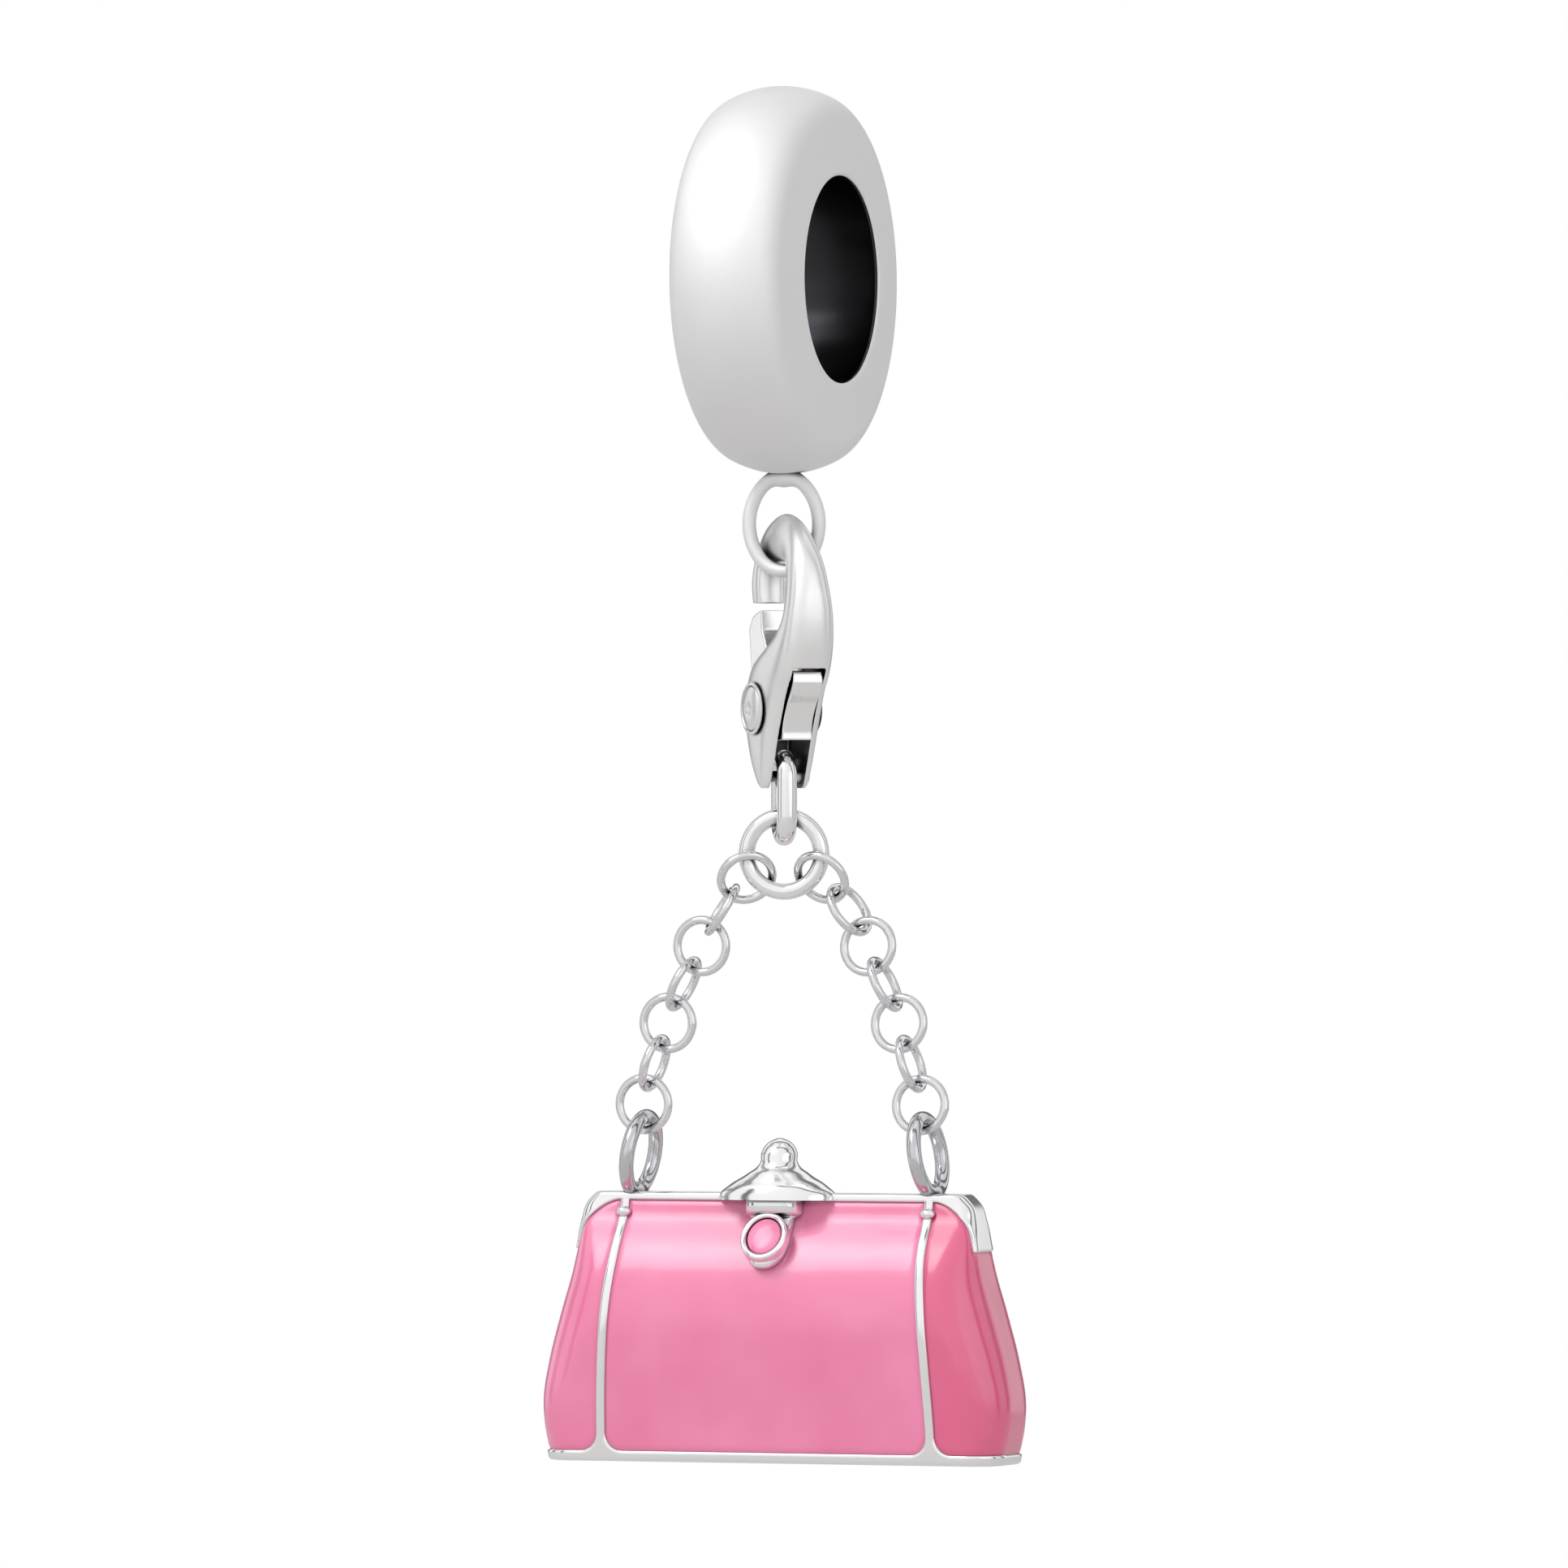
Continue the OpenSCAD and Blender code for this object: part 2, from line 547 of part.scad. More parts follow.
// Kiss lock: an ogee that narrows to a round knob. Columns: share of lock_h, of the ogee's half
// width, and of its half depth.
lock_y = -0.30 * tab_w;
ogee_rows = [[-0.13, 1.00, 1.00], [0.02, 0.97, 0.97], [0.12, 0.86, 0.93], [0.20, 0.76, 0.85], [0.30, 0.60, 0.76],
    [0.38, 0.49, 0.68], [0.46, 0.38, 0.57], [0.54, 0.32, 0.52], [0.75, 0.295, 0.48], [0.87, 0.235, 0.38],
    [0.95, 0.15, 0.25], [1.00, 0.04, 0.07]];
ogee_half_t = knob_d * 0.92;

module kiss_lock() {
    wide = ogee_w / 2;
    for (i = [0:len(ogee_rows) - 2]) hull() for (row = [ogee_rows[i], ogee_rows[i + 1]])
        translate([0, lock_y * (1 - 0.4 * row[0]), bag_top + row[0] * lock_h])
            scale([row[1] * wide, row[2] * ogee_half_t, 1]) cylinder(r = 1, h = 0.01, $fn = 24);
}

// Tab: a strap that rolls over the bar and lies on the front, with an oval bezel
bezel_half = [0.455, 0.52];
bezel_rim = 0.16;
v_tab_low = 1 - tab_l / bag_h;
v_bezel = 1 - (tab_l * 0.58) / bag_h;
function front_y(v, off) = -(column_at(bag_levels, v, 2) * bag_t / 2 + off);
tab_neck = 0.76;
function tab_half(t) = tab_w / 2 * (t < 0.28 ? 1 : t < 0.36 ? lerp(1, tab_neck, (t - 0.28) / 0.08)
    : t < 0.66 ? tab_neck : tab_neck * sqrt(1 - pow((t - 0.66) / 0.36, 2)));
tab_rows = [-0.04, -0.01, 0.04, 0.1, 0.16, 0.22, 0.26, 0.29, 0.36, 0.52, 0.66, 0.76, 0.84, 0.91, 0.96, 0.99];
tab_lift = metal_proud;
// The strap swells into a roll where it comes over the bar
roll_at = [0.11, 0.18];
function roll(t) = let (far = abs(t - roll_at[0]) / roll_at[1]) far < 1 ? 1.1 * tab_t * sqrt(1 - far * far) : 0;

function tab_grid(off) = [for (j = [len(tab_rows) - 1:-1:0]) [for (k = [-1, -0.7, -0.35, 0, 0.35, 0.7, 1])
    let (t = tab_rows[j], v = min(1, 1 - t * tab_l / bag_h), crown = off > tab_lift ? 0.08 * (1 - k * k) + roll(t) : 0)
    [k * tab_half(t), front_y(v, off + crown), bag_top - t * tab_l]]];

module bezel_oval(grow) {
    scale([bezel_half[0] + grow, bezel_half[1] + grow, 1]) circle(r = 1, $fn = 32);
}

bezel_at = [0, front_y(v_bezel, tab_t + 0.1), bag_low + v_bezel * bag_h];
bezel_tilt = 32;

module on_bezel() {
    translate(bezel_at) rotate([90 - bezel_tilt, 0, 0]) children();
}

module tab() {
    slab(tab_grid(tab_t), tab_grid(tab_lift));
    difference() {
        on_bezel() translate([0, 0, -0.12]) linear_extrude(0.24) bezel_oval(bezel_rim);
        on_bezel() translate([0, 0, -0.02]) linear_extrude(0.4) bezel_oval(0);
    }
}

module enamel_tab() {
    color("hotpink") on_bezel() hull() for (step = [[0, 0], [0.05, 0.05], [0.09, 0.14]])
        translate([0, 0, 0.001 + step[0]]) linear_extrude(0.01) bezel_oval(-fill_gap - step[1]);
}

module eyelet(side) {
    along = [side * sin(eyelet_lean), 0, -cos(eyelet_lean)];
    laid([side * eyelet_at[0], 0, eyelet_at[2]], along, [0, 1, 0], cross(along, [0, 1, 0]))
        rotate_extrude($fn = 36) translate([eyelet_r, 0]) circle(d = eyelet_wire, $fn = 12);
}

// Flat domed pip on the top end of a front rib, clear over the enamel on both sides
pip_size = [0.4, 0.28, 0.3];
module pip(side) {
    v = 0.925;
    slope = 24;
    at = skin(u_of(column_at(rib_path, v, 1) * bag_w / 2, v), v, metal_proud * 0.7, side);
    translate(at) rotate([90 - slope, 0, 0]) intersection() {
        scale(pip_size / 2) sphere(r = 1, $fn = 20);
        translate([0, 0, pip_size[2]]) cube(2 * pip_size[2], center = true);
    }
}

module bag_casting() {
    color("gainsboro") {
        difference() {
            bag_block();
            pockets();
        }
        kiss_lock();
        tab();
        for (side = [-1, 1]) {
            eyelet(side);
            pip(side);
        }
    }
}

module enamel_panel(place) {
    color("hotpink") {
        if (place == "front") front_fill(false, 0, -enamel_t, 0);
        if (place == "back") front_fill(true, 0, -enamel_t, 0);
        if (place == "left") side_fill(-1, 0, -enamel_t, 0);
        if (place == "right") side_fill(1, 0, -enamel_t, 0);
    }
}

carrier_bead();
clasp_body();
clasp_lever();
clasp_rivet();
clasp_link();
drop_ring();
for (s = [0, 1], i = [1:links])
    chain_link(2 * s - 1, i - 1);
bag_casting();
for (place = ["front", "back", "left", "right"])
    enamel_panel(place);
enamel_tab();
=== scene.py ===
"""Looks of a dangle charm: a wide-bore bead, a lobster clasp, two link chains and an enamelled handbag.

Every length in the geometry below is in millimetres until make_piece() brings the mesh to metres.
"""
import math
from types import SimpleNamespace

import bmesh
import bpy
import numpy as np
from bpy.props import FloatProperty, FloatVectorProperty, IntProperty, PointerProperty
from mathutils import Matrix, Vector


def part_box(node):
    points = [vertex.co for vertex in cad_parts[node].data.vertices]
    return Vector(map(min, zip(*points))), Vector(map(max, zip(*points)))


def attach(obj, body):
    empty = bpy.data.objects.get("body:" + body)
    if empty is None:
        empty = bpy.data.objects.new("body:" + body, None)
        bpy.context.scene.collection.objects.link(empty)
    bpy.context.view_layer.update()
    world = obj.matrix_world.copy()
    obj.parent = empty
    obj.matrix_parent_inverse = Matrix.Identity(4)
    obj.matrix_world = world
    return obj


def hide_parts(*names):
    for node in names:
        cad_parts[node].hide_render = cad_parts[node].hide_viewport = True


bl_info = {
    "name": "Dangle charm with enamelled handbag",
    "version": (1, 0, 0),
    "blender": (4, 5, 0),
    "location": "View3D > Sidebar > Charm",
    "description": "Builds the visible pieces, finishes and studio of a silver dangle charm",
    "category": "Add Mesh",
}

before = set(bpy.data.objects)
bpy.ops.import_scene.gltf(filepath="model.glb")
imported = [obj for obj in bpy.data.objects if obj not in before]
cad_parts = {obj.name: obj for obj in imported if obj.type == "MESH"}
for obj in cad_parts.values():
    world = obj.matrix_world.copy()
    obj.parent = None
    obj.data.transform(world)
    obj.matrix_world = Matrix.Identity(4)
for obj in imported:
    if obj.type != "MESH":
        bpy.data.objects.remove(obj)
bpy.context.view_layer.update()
MM = 0.001


def linear(code):
    """Linear red, green and blue of an sRGB hex colour."""
    parts = [int(code[i : i + 2], 16) / 255 for i in (1, 3, 5)]
    return tuple(c / 12.92 if c <= 0.04045 else ((c + 0.055) / 1.055) ** 2.4 for c in parts)


def length(name, what, value, low, high):
    """A length property, given in millimetres and kept in metres."""
    return FloatProperty(name=name, description=what, default=value * MM, min=low * MM, max=high * MM,
                         unit="LENGTH", precision=5)


def colour(name, what, code):
    """A colour property whose default is an sRGB hex value."""
    return FloatVectorProperty(name=name, description=what, subtype="COLOR", size=3, min=0, max=1,
                               default=linear(code))


def sizes(name):
    """The lengths of a property group, in millimetres."""
    group = getattr(bpy.context.scene, name)
    keys = [key for key in group.__annotations__ if group.bl_rna.properties[key].unit == "LENGTH"]
    return SimpleNamespace(**{key: getattr(group, key) / MM for key in keys})


# Properties


class CharmBead(bpy.types.PropertyGroup):
    """Sizes of the carrier bead and its loop."""

    outer: length("Outer diameter", "Over the crown of the barrel", 9.56, 8.6, 11)
    bore: length("Bore", "Round hole through the bead", 5.06, 4, 5.4)
    thick: length("Thickness", "Along the bore, at its rim", 3.1, 2.8, 3.8)
    ridge: length("Ridge diameter", "Where side face and barrel meet", 8.62, 8.2, 8.8)
    fall: length("Face fall", "How far the side face falls back from rim to ridge", 0.12, 0.04, 0.2)
    ridge_round: length("Ridge radius", "Rounds the ridge", 0.7, 0.4, 0.9)
    loop_wire: length("Loop wire", "Wire of the loop under the bead", 0.34, 0.26, 0.36)
    loop_w: length("Loop width", "Over the wire", 2.18, 2.1, 2.6)
    loop_h: length("Loop height", "Over the wire", 2.66, 2.4, 3.2)
    loop_sink: length("Loop sink", "Depth of the soldered root in the bead", 0.1, 0.06, 0.16)


class CharmClasp(bpy.types.PropertyGroup):
    """Sizes of the lobster clasp."""

    turn: FloatProperty(name="Turn", description="Turn about the vertical, from facing front",
                        default=math.radians(43.3), subtype="ANGLE")
    height: length("Height", "From the claw's top to the tips of the cheeks", 6.76, 6, 7.6)
    width: length("Width", "Width that the side outline is drawn to", 3.4, 3.2, 3.8)
    thick: length("Thickness", "Over both cheeks", 1.52, 1.4, 1.8)
    slot: length("Slot", "Between the cheeks", 0.88, 0.84, 0.92)
    lever_gap: length("Lever gap", "Clearance of the lever on each side", 0.05, 0.03, 0.08)
    rivet: length("Rivet", "Shank diameter", 0.6, 0.4, 0.7)
    head: length("Rivet head", "Head diameter", 1.3, 1, 1.4)
    head_rise: length("Head rise", "How far a head stands proud", 0.16, 0.1, 0.2)
    pin: length("Cross pin", "Pin that the oval link hangs on", 0.28, 0.22, 0.28)


class CharmBag(bpy.types.PropertyGroup):
    """Sizes of the handbag."""

    width: length("Width", "Greatest width, over the lower corners", 12.3, 11.4, 13)
    depth: length("Depth", "Greatest depth, front to back", 3.12, 2.9, 3.6)
    height: length("Height", "Body without lock and eyelets", 6.64, 6, 7.4)
    proud: length("Metal rise", "How far the silver stands over the enamel", 0.06, 0.03, 0.09)
    enamel: length("Enamel depth", "Depth of a fill", 0.24, 0.16, 0.3)
    rib: length("Rib half width", "Half of a rib's width", 0.11, 0.08, 0.15)
    sill: length("Sill height", "Height of the base sill", 0.26, 0.2, 0.4)
    bar: length("Bar height", "Height of the top bar on the front", 0.2, 0.14, 0.3)
    corner: length("Panel corner", "Radius of a panel's lower corners", 0.45, 0.3, 0.6)
    cap: length("End cap", "How far an end cap comes down the side", 1.42, 1, 1.8)
    eyelet: length("Eyelet", "Outer diameter of an eyelet", 2.22, 2.1, 2.3)
    eyelet_wire: length("Eyelet wire", "Wire of an eyelet", 0.36, 0.3, 0.38)
    ogee: length("Ogee", "Width of the kiss lock's base", 3, 2.4, 3.4)
    lock: length("Lock height", "Ogee and knob over the bar", 1.34, 1.1, 1.6)
    knob: length("Knob", "Diameter of the knob", 0.98, 0.8, 1.1)
    tab_w: length("Tab width", "Width of the strap", 1.46, 1.3, 1.6)
    tab_l: length("Tab length", "Length of the strap down the front", 1.86, 1.7, 2)
    tab_t: length("Tab thickness", "Thickness of the strap", 0.3, 0.24, 0.36)


class CharmFinish(bpy.types.PropertyGroup):
    """Colours of the finishes and fineness of the meshes."""

    silver: colour("Polished silver", "Plated silver of clasp, rings and bag", "#F3F3F4")
    satin: colour("Satin silver", "Tumbled silver of the bead", "#EDEDEE")
    # Painted shade: the grey that the bead's satin silver turns to in its corners and recesses
    painted_shade: colour("Shaded silver", "Dull silver in the bead's corners", "#77777C")
    enamel: colour("Enamel", "Pink of the fills", "#EF7FAC")
    enamel_deep: colour("Deep enamel", "Pink where the fill is thick", "#E56A98")
    # Painted shade: the right gusset's two pinks are darker and redder than the front's, for the shade on
    # that side
    gusset: colour("Gusset enamel", "Redder pink of the right gusset", "#DF5383")
    gusset_deep: colour("Deep gusset enamel", "Redder pink where that fill is thick", "#D54674")
    floor: colour("Floor", "Pale studio floor", "#CCCBC9")
    round_steps: IntProperty(name="Round steps", description="Segments round a link", default=96, min=32,
                             max=160)


# Materials


def add(tree, kind, inputs=None, **settings):
    """Adds one node with its settings; an input is a value, or a socket to link from."""
    made = tree.nodes.new(kind)
    for name, value in settings.items():
        setattr(made, name, value)
    for key, value in (inputs or {}).items():
        if isinstance(value, bpy.types.NodeSocket):
            tree.links.new(value, made.inputs[key])
        else:
            made.inputs[key].default_value = value
    return made


def built(name, surface):
    """The material of that name; surface(tree, place) builds it on first use."""
    if name not in bpy.data.materials:
        material = bpy.data.materials.new(name)
        material.use_nodes = True
        tree = material.node_tree
        tree.nodes.clear()
        place = add(tree, "ShaderNodeTexCoord").outputs["Object"]
        add(tree, "ShaderNodeOutputMaterial", {"Surface": surface(tree, place)})
    return bpy.data.materials[name]


# Silver finishes. Columns: base and painted shade, each a finish property or an sRGB value, roughness, its
# spread, then size of the grain, height of the grain and reach of the painted shade, in millimetres.
SILVERS = {
    # Cast and tumbled: a soft satin skin with wide gradients, turning grey with painted shade in its corners
    "satin_tumbled_silver": ("satin", "painted_shade", 0.66, 0.03, 0.06, 0.0012, 0.22),
    # Painted shade inside the bore: a dark, shiny silver that stands for the shade there and darkens further
    # towards black
    "painted_shade_bore_silver": ("#3A3A3D", "#050506", 0.24, 0.03, 0.09, 0.0008, 3.5),
    # Softly buffed outside; painted shade turns it nearly black in the slot and in the rivet's dimple
    "buffed_cast_silver": ("silver", "#0B0B0C", 0.33, 0.03, 0.06, 0.001, 0.75),
    # Wheel polished: bright and slightly soft, with painted shade where ribs, rings and joints meet
    "rhodium_plated_silver": ("silver", "#55555A", 0.14, 0.03, 0.07, 0.0006, 0.28),
    # Drawn wire, barrel polished: crisp reflections with darker flanks, and painted shade where links lie in
    # each other
    "barrel_polished_silver_wire": ("#E4E4E7", "#2E2E32", 0.08, 0.02, 0.09, 0.0005, 0.26),
    # Grey in tone, so that it mirrors its surroundings darkly, with painted shade reaching well into the ring
    "grey_polished_silver": ("#CFCFD3", "#2C2C30", 0.12, 0.03, 0.09, 0.0006, 0.6),
}


def silver(name):
    """Silver with worn roughness, a fine surface grain, and painted shade in recesses that reaches some way
    in.
    """
    *tones, rough, rough_spread, grain_size, grain_rise, reach = SILVERS[name]
    finish = bpy.context.scene.charm_finish
    base, shade = (linear(tone) if tone.startswith("#") else getattr(finish, tone) for tone in tones)

    def surface(tree, place):
        # Handling and tumbling leave soft patches about 0.8 mm across
        patches = add(tree, "ShaderNodeTexNoise", {"Vector": place, "Scale": 1 / (0.8 * MM), "Detail": 3.0})
        roughness = add(tree, "ShaderNodeMapRange",
                        {"Value": patches.outputs["Fac"], "From Min": 0.3, "From Max": 0.7,
                         "To Min": rough - rough_spread, "To Max": rough + rough_spread})
        # Real tumbling grain is a few hundredths of a millimetre: it is drawn coarser, so that it shows
        grain = add(tree, "ShaderNodeTexNoise",
                    {"Vector": place, "Scale": 1 / (grain_size * MM), "Detail": 2.0})
        bump = add(tree, "ShaderNodeBump",
                   {"Height": grain.outputs["Fac"], "Strength": 1.0, "Distance": grain_rise * MM})
        # Painted shade: the colour turns towards the shade colour where ambient occlusion finds corners,
        # recesses and gaps between parts
        hollow = add(tree, "ShaderNodeAmbientOcclusion", {"Distance": reach * MM}, samples=8)
        depth = add(tree, "ShaderNodeMapRange", {"Value": hollow.outputs["AO"], "From Min": 0.25,
                                                 "From Max": 0.8, "To Min": 1.0, "To Max": 0.0})
        tint = add(tree, "ShaderNodeMix", {"Factor": depth.outputs["Result"], 6: (*base, 1), 7: (*shade, 1)},
                   data_type="RGBA")
        return add(tree, "ShaderNodeBsdfPrincipled",
                   {"Base Color": tint.outputs[2], "Metallic": 1.0, "Roughness": roughness.outputs["Result"],
                    "Normal": bump.outputs["Normal"]}).outputs["BSDF"]

    return built(name, surface)


def pink_enamel(name, pale, deep):
    """Enamel, poured and cured: an even pink under a clear glossy skin."""

    def surface(tree, place):
        # The pigment settles in clouds about 2.4 mm across
        clouds = add(tree, "ShaderNodeTexNoise", {"Vector": place, "Scale": 1 / (2.4 * MM), "Detail": 2.0})
        amount = add(tree, "ShaderNodeMapRange",
                     {"Value": clouds.outputs["Fac"], "From Min": 0.25, "From Max": 0.75})
        tint = add(tree, "ShaderNodeMix", {"Factor": amount.outputs["Result"], 6: (*pale, 1), 7: (*deep, 1)},
                   data_type="RGBA")
        # Curing leaves a slow ripple, about 1.1 mm long and a hundredth of a millimetre high at most
        ripple = add(tree, "ShaderNodeTexNoise", {"Vector": place, "Scale": 1 / (1.1 * MM), "Detail": 1.0})
        bump = add(tree, "ShaderNodeBump",
                   {"Height": ripple.outputs["Fac"], "Strength": 1.0, "Distance": 0.012 * MM})
        return add(tree, "ShaderNodeBsdfPrincipled",
                   {"Base Color": tint.outputs[2], "Roughness": 0.34, "IOR": 1.5, "Coat Weight": 1.0,
                    "Coat Roughness": 0.12, "Coat IOR": 1.75, "Normal": bump.outputs["Normal"],
                    "Coat Normal": bump.outputs["Normal"]}).outputs["BSDF"]

    return built(name, surface)


def front_enamel():
    """Pink of the front, the back, the left gusset and the strap."""
    finish = bpy.context.scene.charm_finish
    return pink_enamel("poured_pink_enamel", finish.enamel, finish.enamel_deep)


def shaded_gusset_enamel():
    """Redder, darker pink of the right gusset: painted shade on that side."""
    finish = bpy.context.scene.charm_finish
    return pink_enamel("painted_shade_pink_enamel", finish.gusset, finish.gusset_deep)


def studio_paper(tree, place):
    """Matt studio paper: pale and free of gloss."""
    # Paper fibre of about 0.4 mm
    fibre = add(tree, "ShaderNodeTexNoise", {"Vector": place, "Scale": 1 / (0.4 * MM), "Detail": 3.0})
    bump = add(tree, "ShaderNodeBump",
               {"Height": fibre.outputs["Fac"], "Strength": 1.0, "Distance": 0.01 * MM})
    floor = bpy.context.scene.charm_finish.floor
    return add(tree, "ShaderNodeBsdfPrincipled", {"Base Color": (*floor, 1), "Roughness": 0.9,
                                                  "Normal": bump.outputs["Normal"]}).outputs["BSDF"]


def backdrop_paper(tree, place):
    """Evenly lit white paper."""
    return add(tree, "ShaderNodeEmission", {"Color": (1, 1, 1, 1), "Strength": 1.0}).outputs["Emission"]


# Mesh tools

# Radius of an oval's end arcs, as a share of its half width
OVAL_END = 0.86


def unit(v):
    """The vector brought to length 1."""
    v = np.asarray(v, float)
    return v / np.linalg.norm(v)


def around(steps):
    """Angles of even steps round a circle."""
    return np.arange(steps) * 2 * math.pi / steps


def column_at(table, key, column):
    """Smooth value of a table's column at each key; the first column is the key."""
    table = np.asarray(table, float)
    key = np.asarray(key, float)
    keys, values = table[:, 0], table[:, column]
    wide = np.diff(keys)
    rise = np.diff(values) / wide
    inner = (rise[:-1] * wide[1:] + rise[1:] * wide[:-1]) / (wide[:-1] + wide[1:])
    slope = np.concatenate([rise[:1], inner, rise[-1:]])
    k = np.clip(np.searchsorted(keys, key, side="right") - 1, 0, len(wide) - 1)
    t = (key - keys[k]) / wide[k]
    return ((2 * t**3 - 3 * t**2 + 1) * values[k] + (t**3 - 2 * t**2 + t) * wide[k] * slope[k]
            + (3 * t**2 - 2 * t**3) * values[k + 1] + (t**3 - t**2) * wide[k] * slope[k + 1])


def grid_faces(rows, columns, start=0, closed=False, turn=False):
    """Quads of a grid of vertices; a closed grid joins its last column to its first."""
    j, i = np.meshgrid(np.arange(rows - 1), np.arange(columns if closed else columns - 1), indexing="ij")
    n = (i + 1) % columns
    quads = np.stack([j * columns + i, j * columns + n, (j + 1) * columns + n, (j + 1) * columns + i], -1)
    quads = quads.reshape(-1, 4) + start
    return [tuple(q) for q in (quads[:, ::-1] if turn else quads)]


def loft(rings, closed=False):
    """Vertices and faces through rings of equal length, capped, or closed from the last ring to the first."""
    rings = np.asarray(rings, float)
    if closed:
        rings = np.concatenate([rings, rings[:1]])
    rows, columns = rings.shape[:2]
    faces = grid_faces(rows, columns, closed=True)
    if not closed:
        faces += [tuple(range((rows - 1) * columns, rows * columns)), tuple(range(columns))[::-1]]
    return rings.reshape(-1, 3), faces


def joined(*parts):
    """One set of vertices and faces from several."""
    verts, faces, shift = [], [], 0
    for v, f in parts:
        verts.append(np.asarray(v, float))
        faces += [tuple(int(i) + shift for i in face) for face in f]
        shift += len(v)
    return np.vstack(verts), faces


def placed(part, origin, x_dir, y_dir, z_dir):
    """The part with its local x, y and z laid along the given directions at a place."""
    verts, faces = part
    axes = np.array([x_dir, y_dir, z_dir])
    return np.asarray(verts) @ axes + np.asarray(origin), faces


def lathed(profile, steps, closed=False):
    """Revolves (height, radius) points about local z; closed joins the last point to the first."""
    a = around(steps)
    rings = [np.stack([r * np.cos(a), r * np.sin(a), np.full(steps, h)], -1) for h, r in profile]
    return loft(rings, closed)


def bent_wire(middle_at, angles, wire, sides, swell):
    """Ring of round wire in local x and y through middle_at(angle, outwards); swell(angle) grows the wire."""
    p = around(sides)
    rings = []
    for a in angles:
        out = np.array([math.cos(a), math.sin(a), 0])
        radius = wire / 2 * (swell(a) if swell else 1)
        rings.append(middle_at(a, out) + radius * (np.outer(np.cos(p), out) + np.outer(np.sin(p), [0, 0, 1])))
    return loft(rings, closed=True)


def tube(width, height, wire, steps, sides, swell=None):
    """Ring of round wire; taller than wide it has straight sides."""
    r = (width - wire) / 2
    reach = (height - width) / 2
    angles = around(steps) + math.pi / steps
    return bent_wire(lambda a, out: out * r + [0, math.copysign(reach, math.sin(a)), 0], angles, wire, sides,
                     swell)


def round_oval(width, height, wire, steps, sides, swell=None):
    """Ring of round wire along an oval of four arcs."""
    half_w, half_h = (width - wire) / 2, (height - wire) / 2
    end = OVAL_END * half_w
    rise = half_h - end
    side = (rise**2 + half_w**2 - end**2) / (2 * (half_w - end))
    shift = side - half_w
    change = math.sin(math.atan2(rise, shift))

    def middle_at(a, out):
        # The arc that the outward direction falls on gives the middle of the wire
        if abs(math.sin(a)) > change:
            return np.array([0, math.copysign(rise, math.sin(a)), 0]) + end * out
        return np.array([-math.copysign(shift, math.cos(a)), 0, 0]) + side * out

    return bent_wire(middle_at, around(steps), wire, sides, swell)


def mesh_object(name, part):
    """A plain object in millimetres with its faces turned outwards, not yet a piece."""
    mesh = bpy.data.meshes.new(name)
    mesh.from_pydata([tuple(v) for v in np.asarray(part[0])], [], part[1])
    work = bmesh.new()
    work.from_mesh(mesh)
    bmesh.ops.remove_doubles(work, verts=work.verts, dist=1e-5)
    bmesh.ops.recalc_face_normals(work, faces=work.faces)
    work.to_mesh(mesh)
    work.free()
    made = bpy.data.objects.new(name, mesh)
    bpy.context.scene.collection.objects.link(made)
    return made


def part_of(thing):
    """Takes an object apart into its vertices and faces."""
    verts = np.array([v.co for v in thing.data.vertices])
    faces = [tuple(p.vertices) for p in thing.data.polygons]
    bpy.data.objects.remove(thing)
    return verts, faces


def settle(thing):
    """Applies an object's modifiers to its mesh."""
    graph = bpy.context.evaluated_depsgraph_get()
    done = bpy.data.meshes.new_from_object(thing.evaluated_get(graph))
    thing.modifiers.clear()
    thing.data = done


def carved(thing, *cutters):
    """Cuts closed shapes out of an object."""
    for part in cutters:
        tool = mesh_object("cutter", part)
        cut = thing.modifiers.new("cut", "BOOLEAN")
        cut.operation, cut.solver, cut.object = "DIFFERENCE", "EXACT", tool
        settle(thing)
        bpy.data.objects.remove(tool)


def softened(thing, cell, rounds):
    """Rebuilds a closed object in even cells and eases its edges, as casting and polishing do."""
    remesh = thing.modifiers.new("cells", "REMESH")
    remesh.mode, remesh.voxel_size = "VOXEL", cell
    ease = thing.modifiers.new("ease", "SMOOTH")
    ease.factor, ease.iterations = 0.5, rounds
    settle(thing)


def make_piece(thing, body, nodes, materials, crease=40):
    """Brings the mesh to metres, shades it smooth, gives it its materials, hangs it on its body and hides the
    nodes it stands for.
    """
    mesh = thing.data
    mesh.transform(Matrix.Scale(MM, 4))
    mesh.shade_smooth()
    mesh.set_sharp_from_angle(angle=math.radians(crease))
    for material in materials:
        mesh.materials.append(material)
    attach(thing, body)
    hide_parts(*nodes)


def ring_of(name):
    """Centre, long axis, cross axis, normal and (width, height, wire) of a ring-shaped node, in mm."""
    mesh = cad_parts[name].data
    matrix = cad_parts[name].matrix_world
    mesh.calc_loop_triangles()
    verts = np.array([matrix @ v.co for v in mesh.vertices]) / MM
    tris = verts[np.array([t.vertices[:] for t in mesh.loop_triangles])]
    areas = np.linalg.norm(np.cross(tris[:, 1] - tris[:, 0], tris[:, 2] - tris[:, 0]), axis=1)[:, None]
    middles = tris.mean(1)
    centre = (middles * areas).sum(0) / areas.sum()
    scatter = ((middles - centre) * areas).T @ (middles - centre)
    cross, along = np.linalg.eigh(scatter)[1].T[1:]
    normal = unit(np.cross(cross, along))
    size = [np.ptp((verts - centre) @ axis) for axis in (cross, along, normal)]
    return centre, along, cross, normal, size


# Bead

# Radius that eases the rim of the bore
RIM_EASE = 0.13


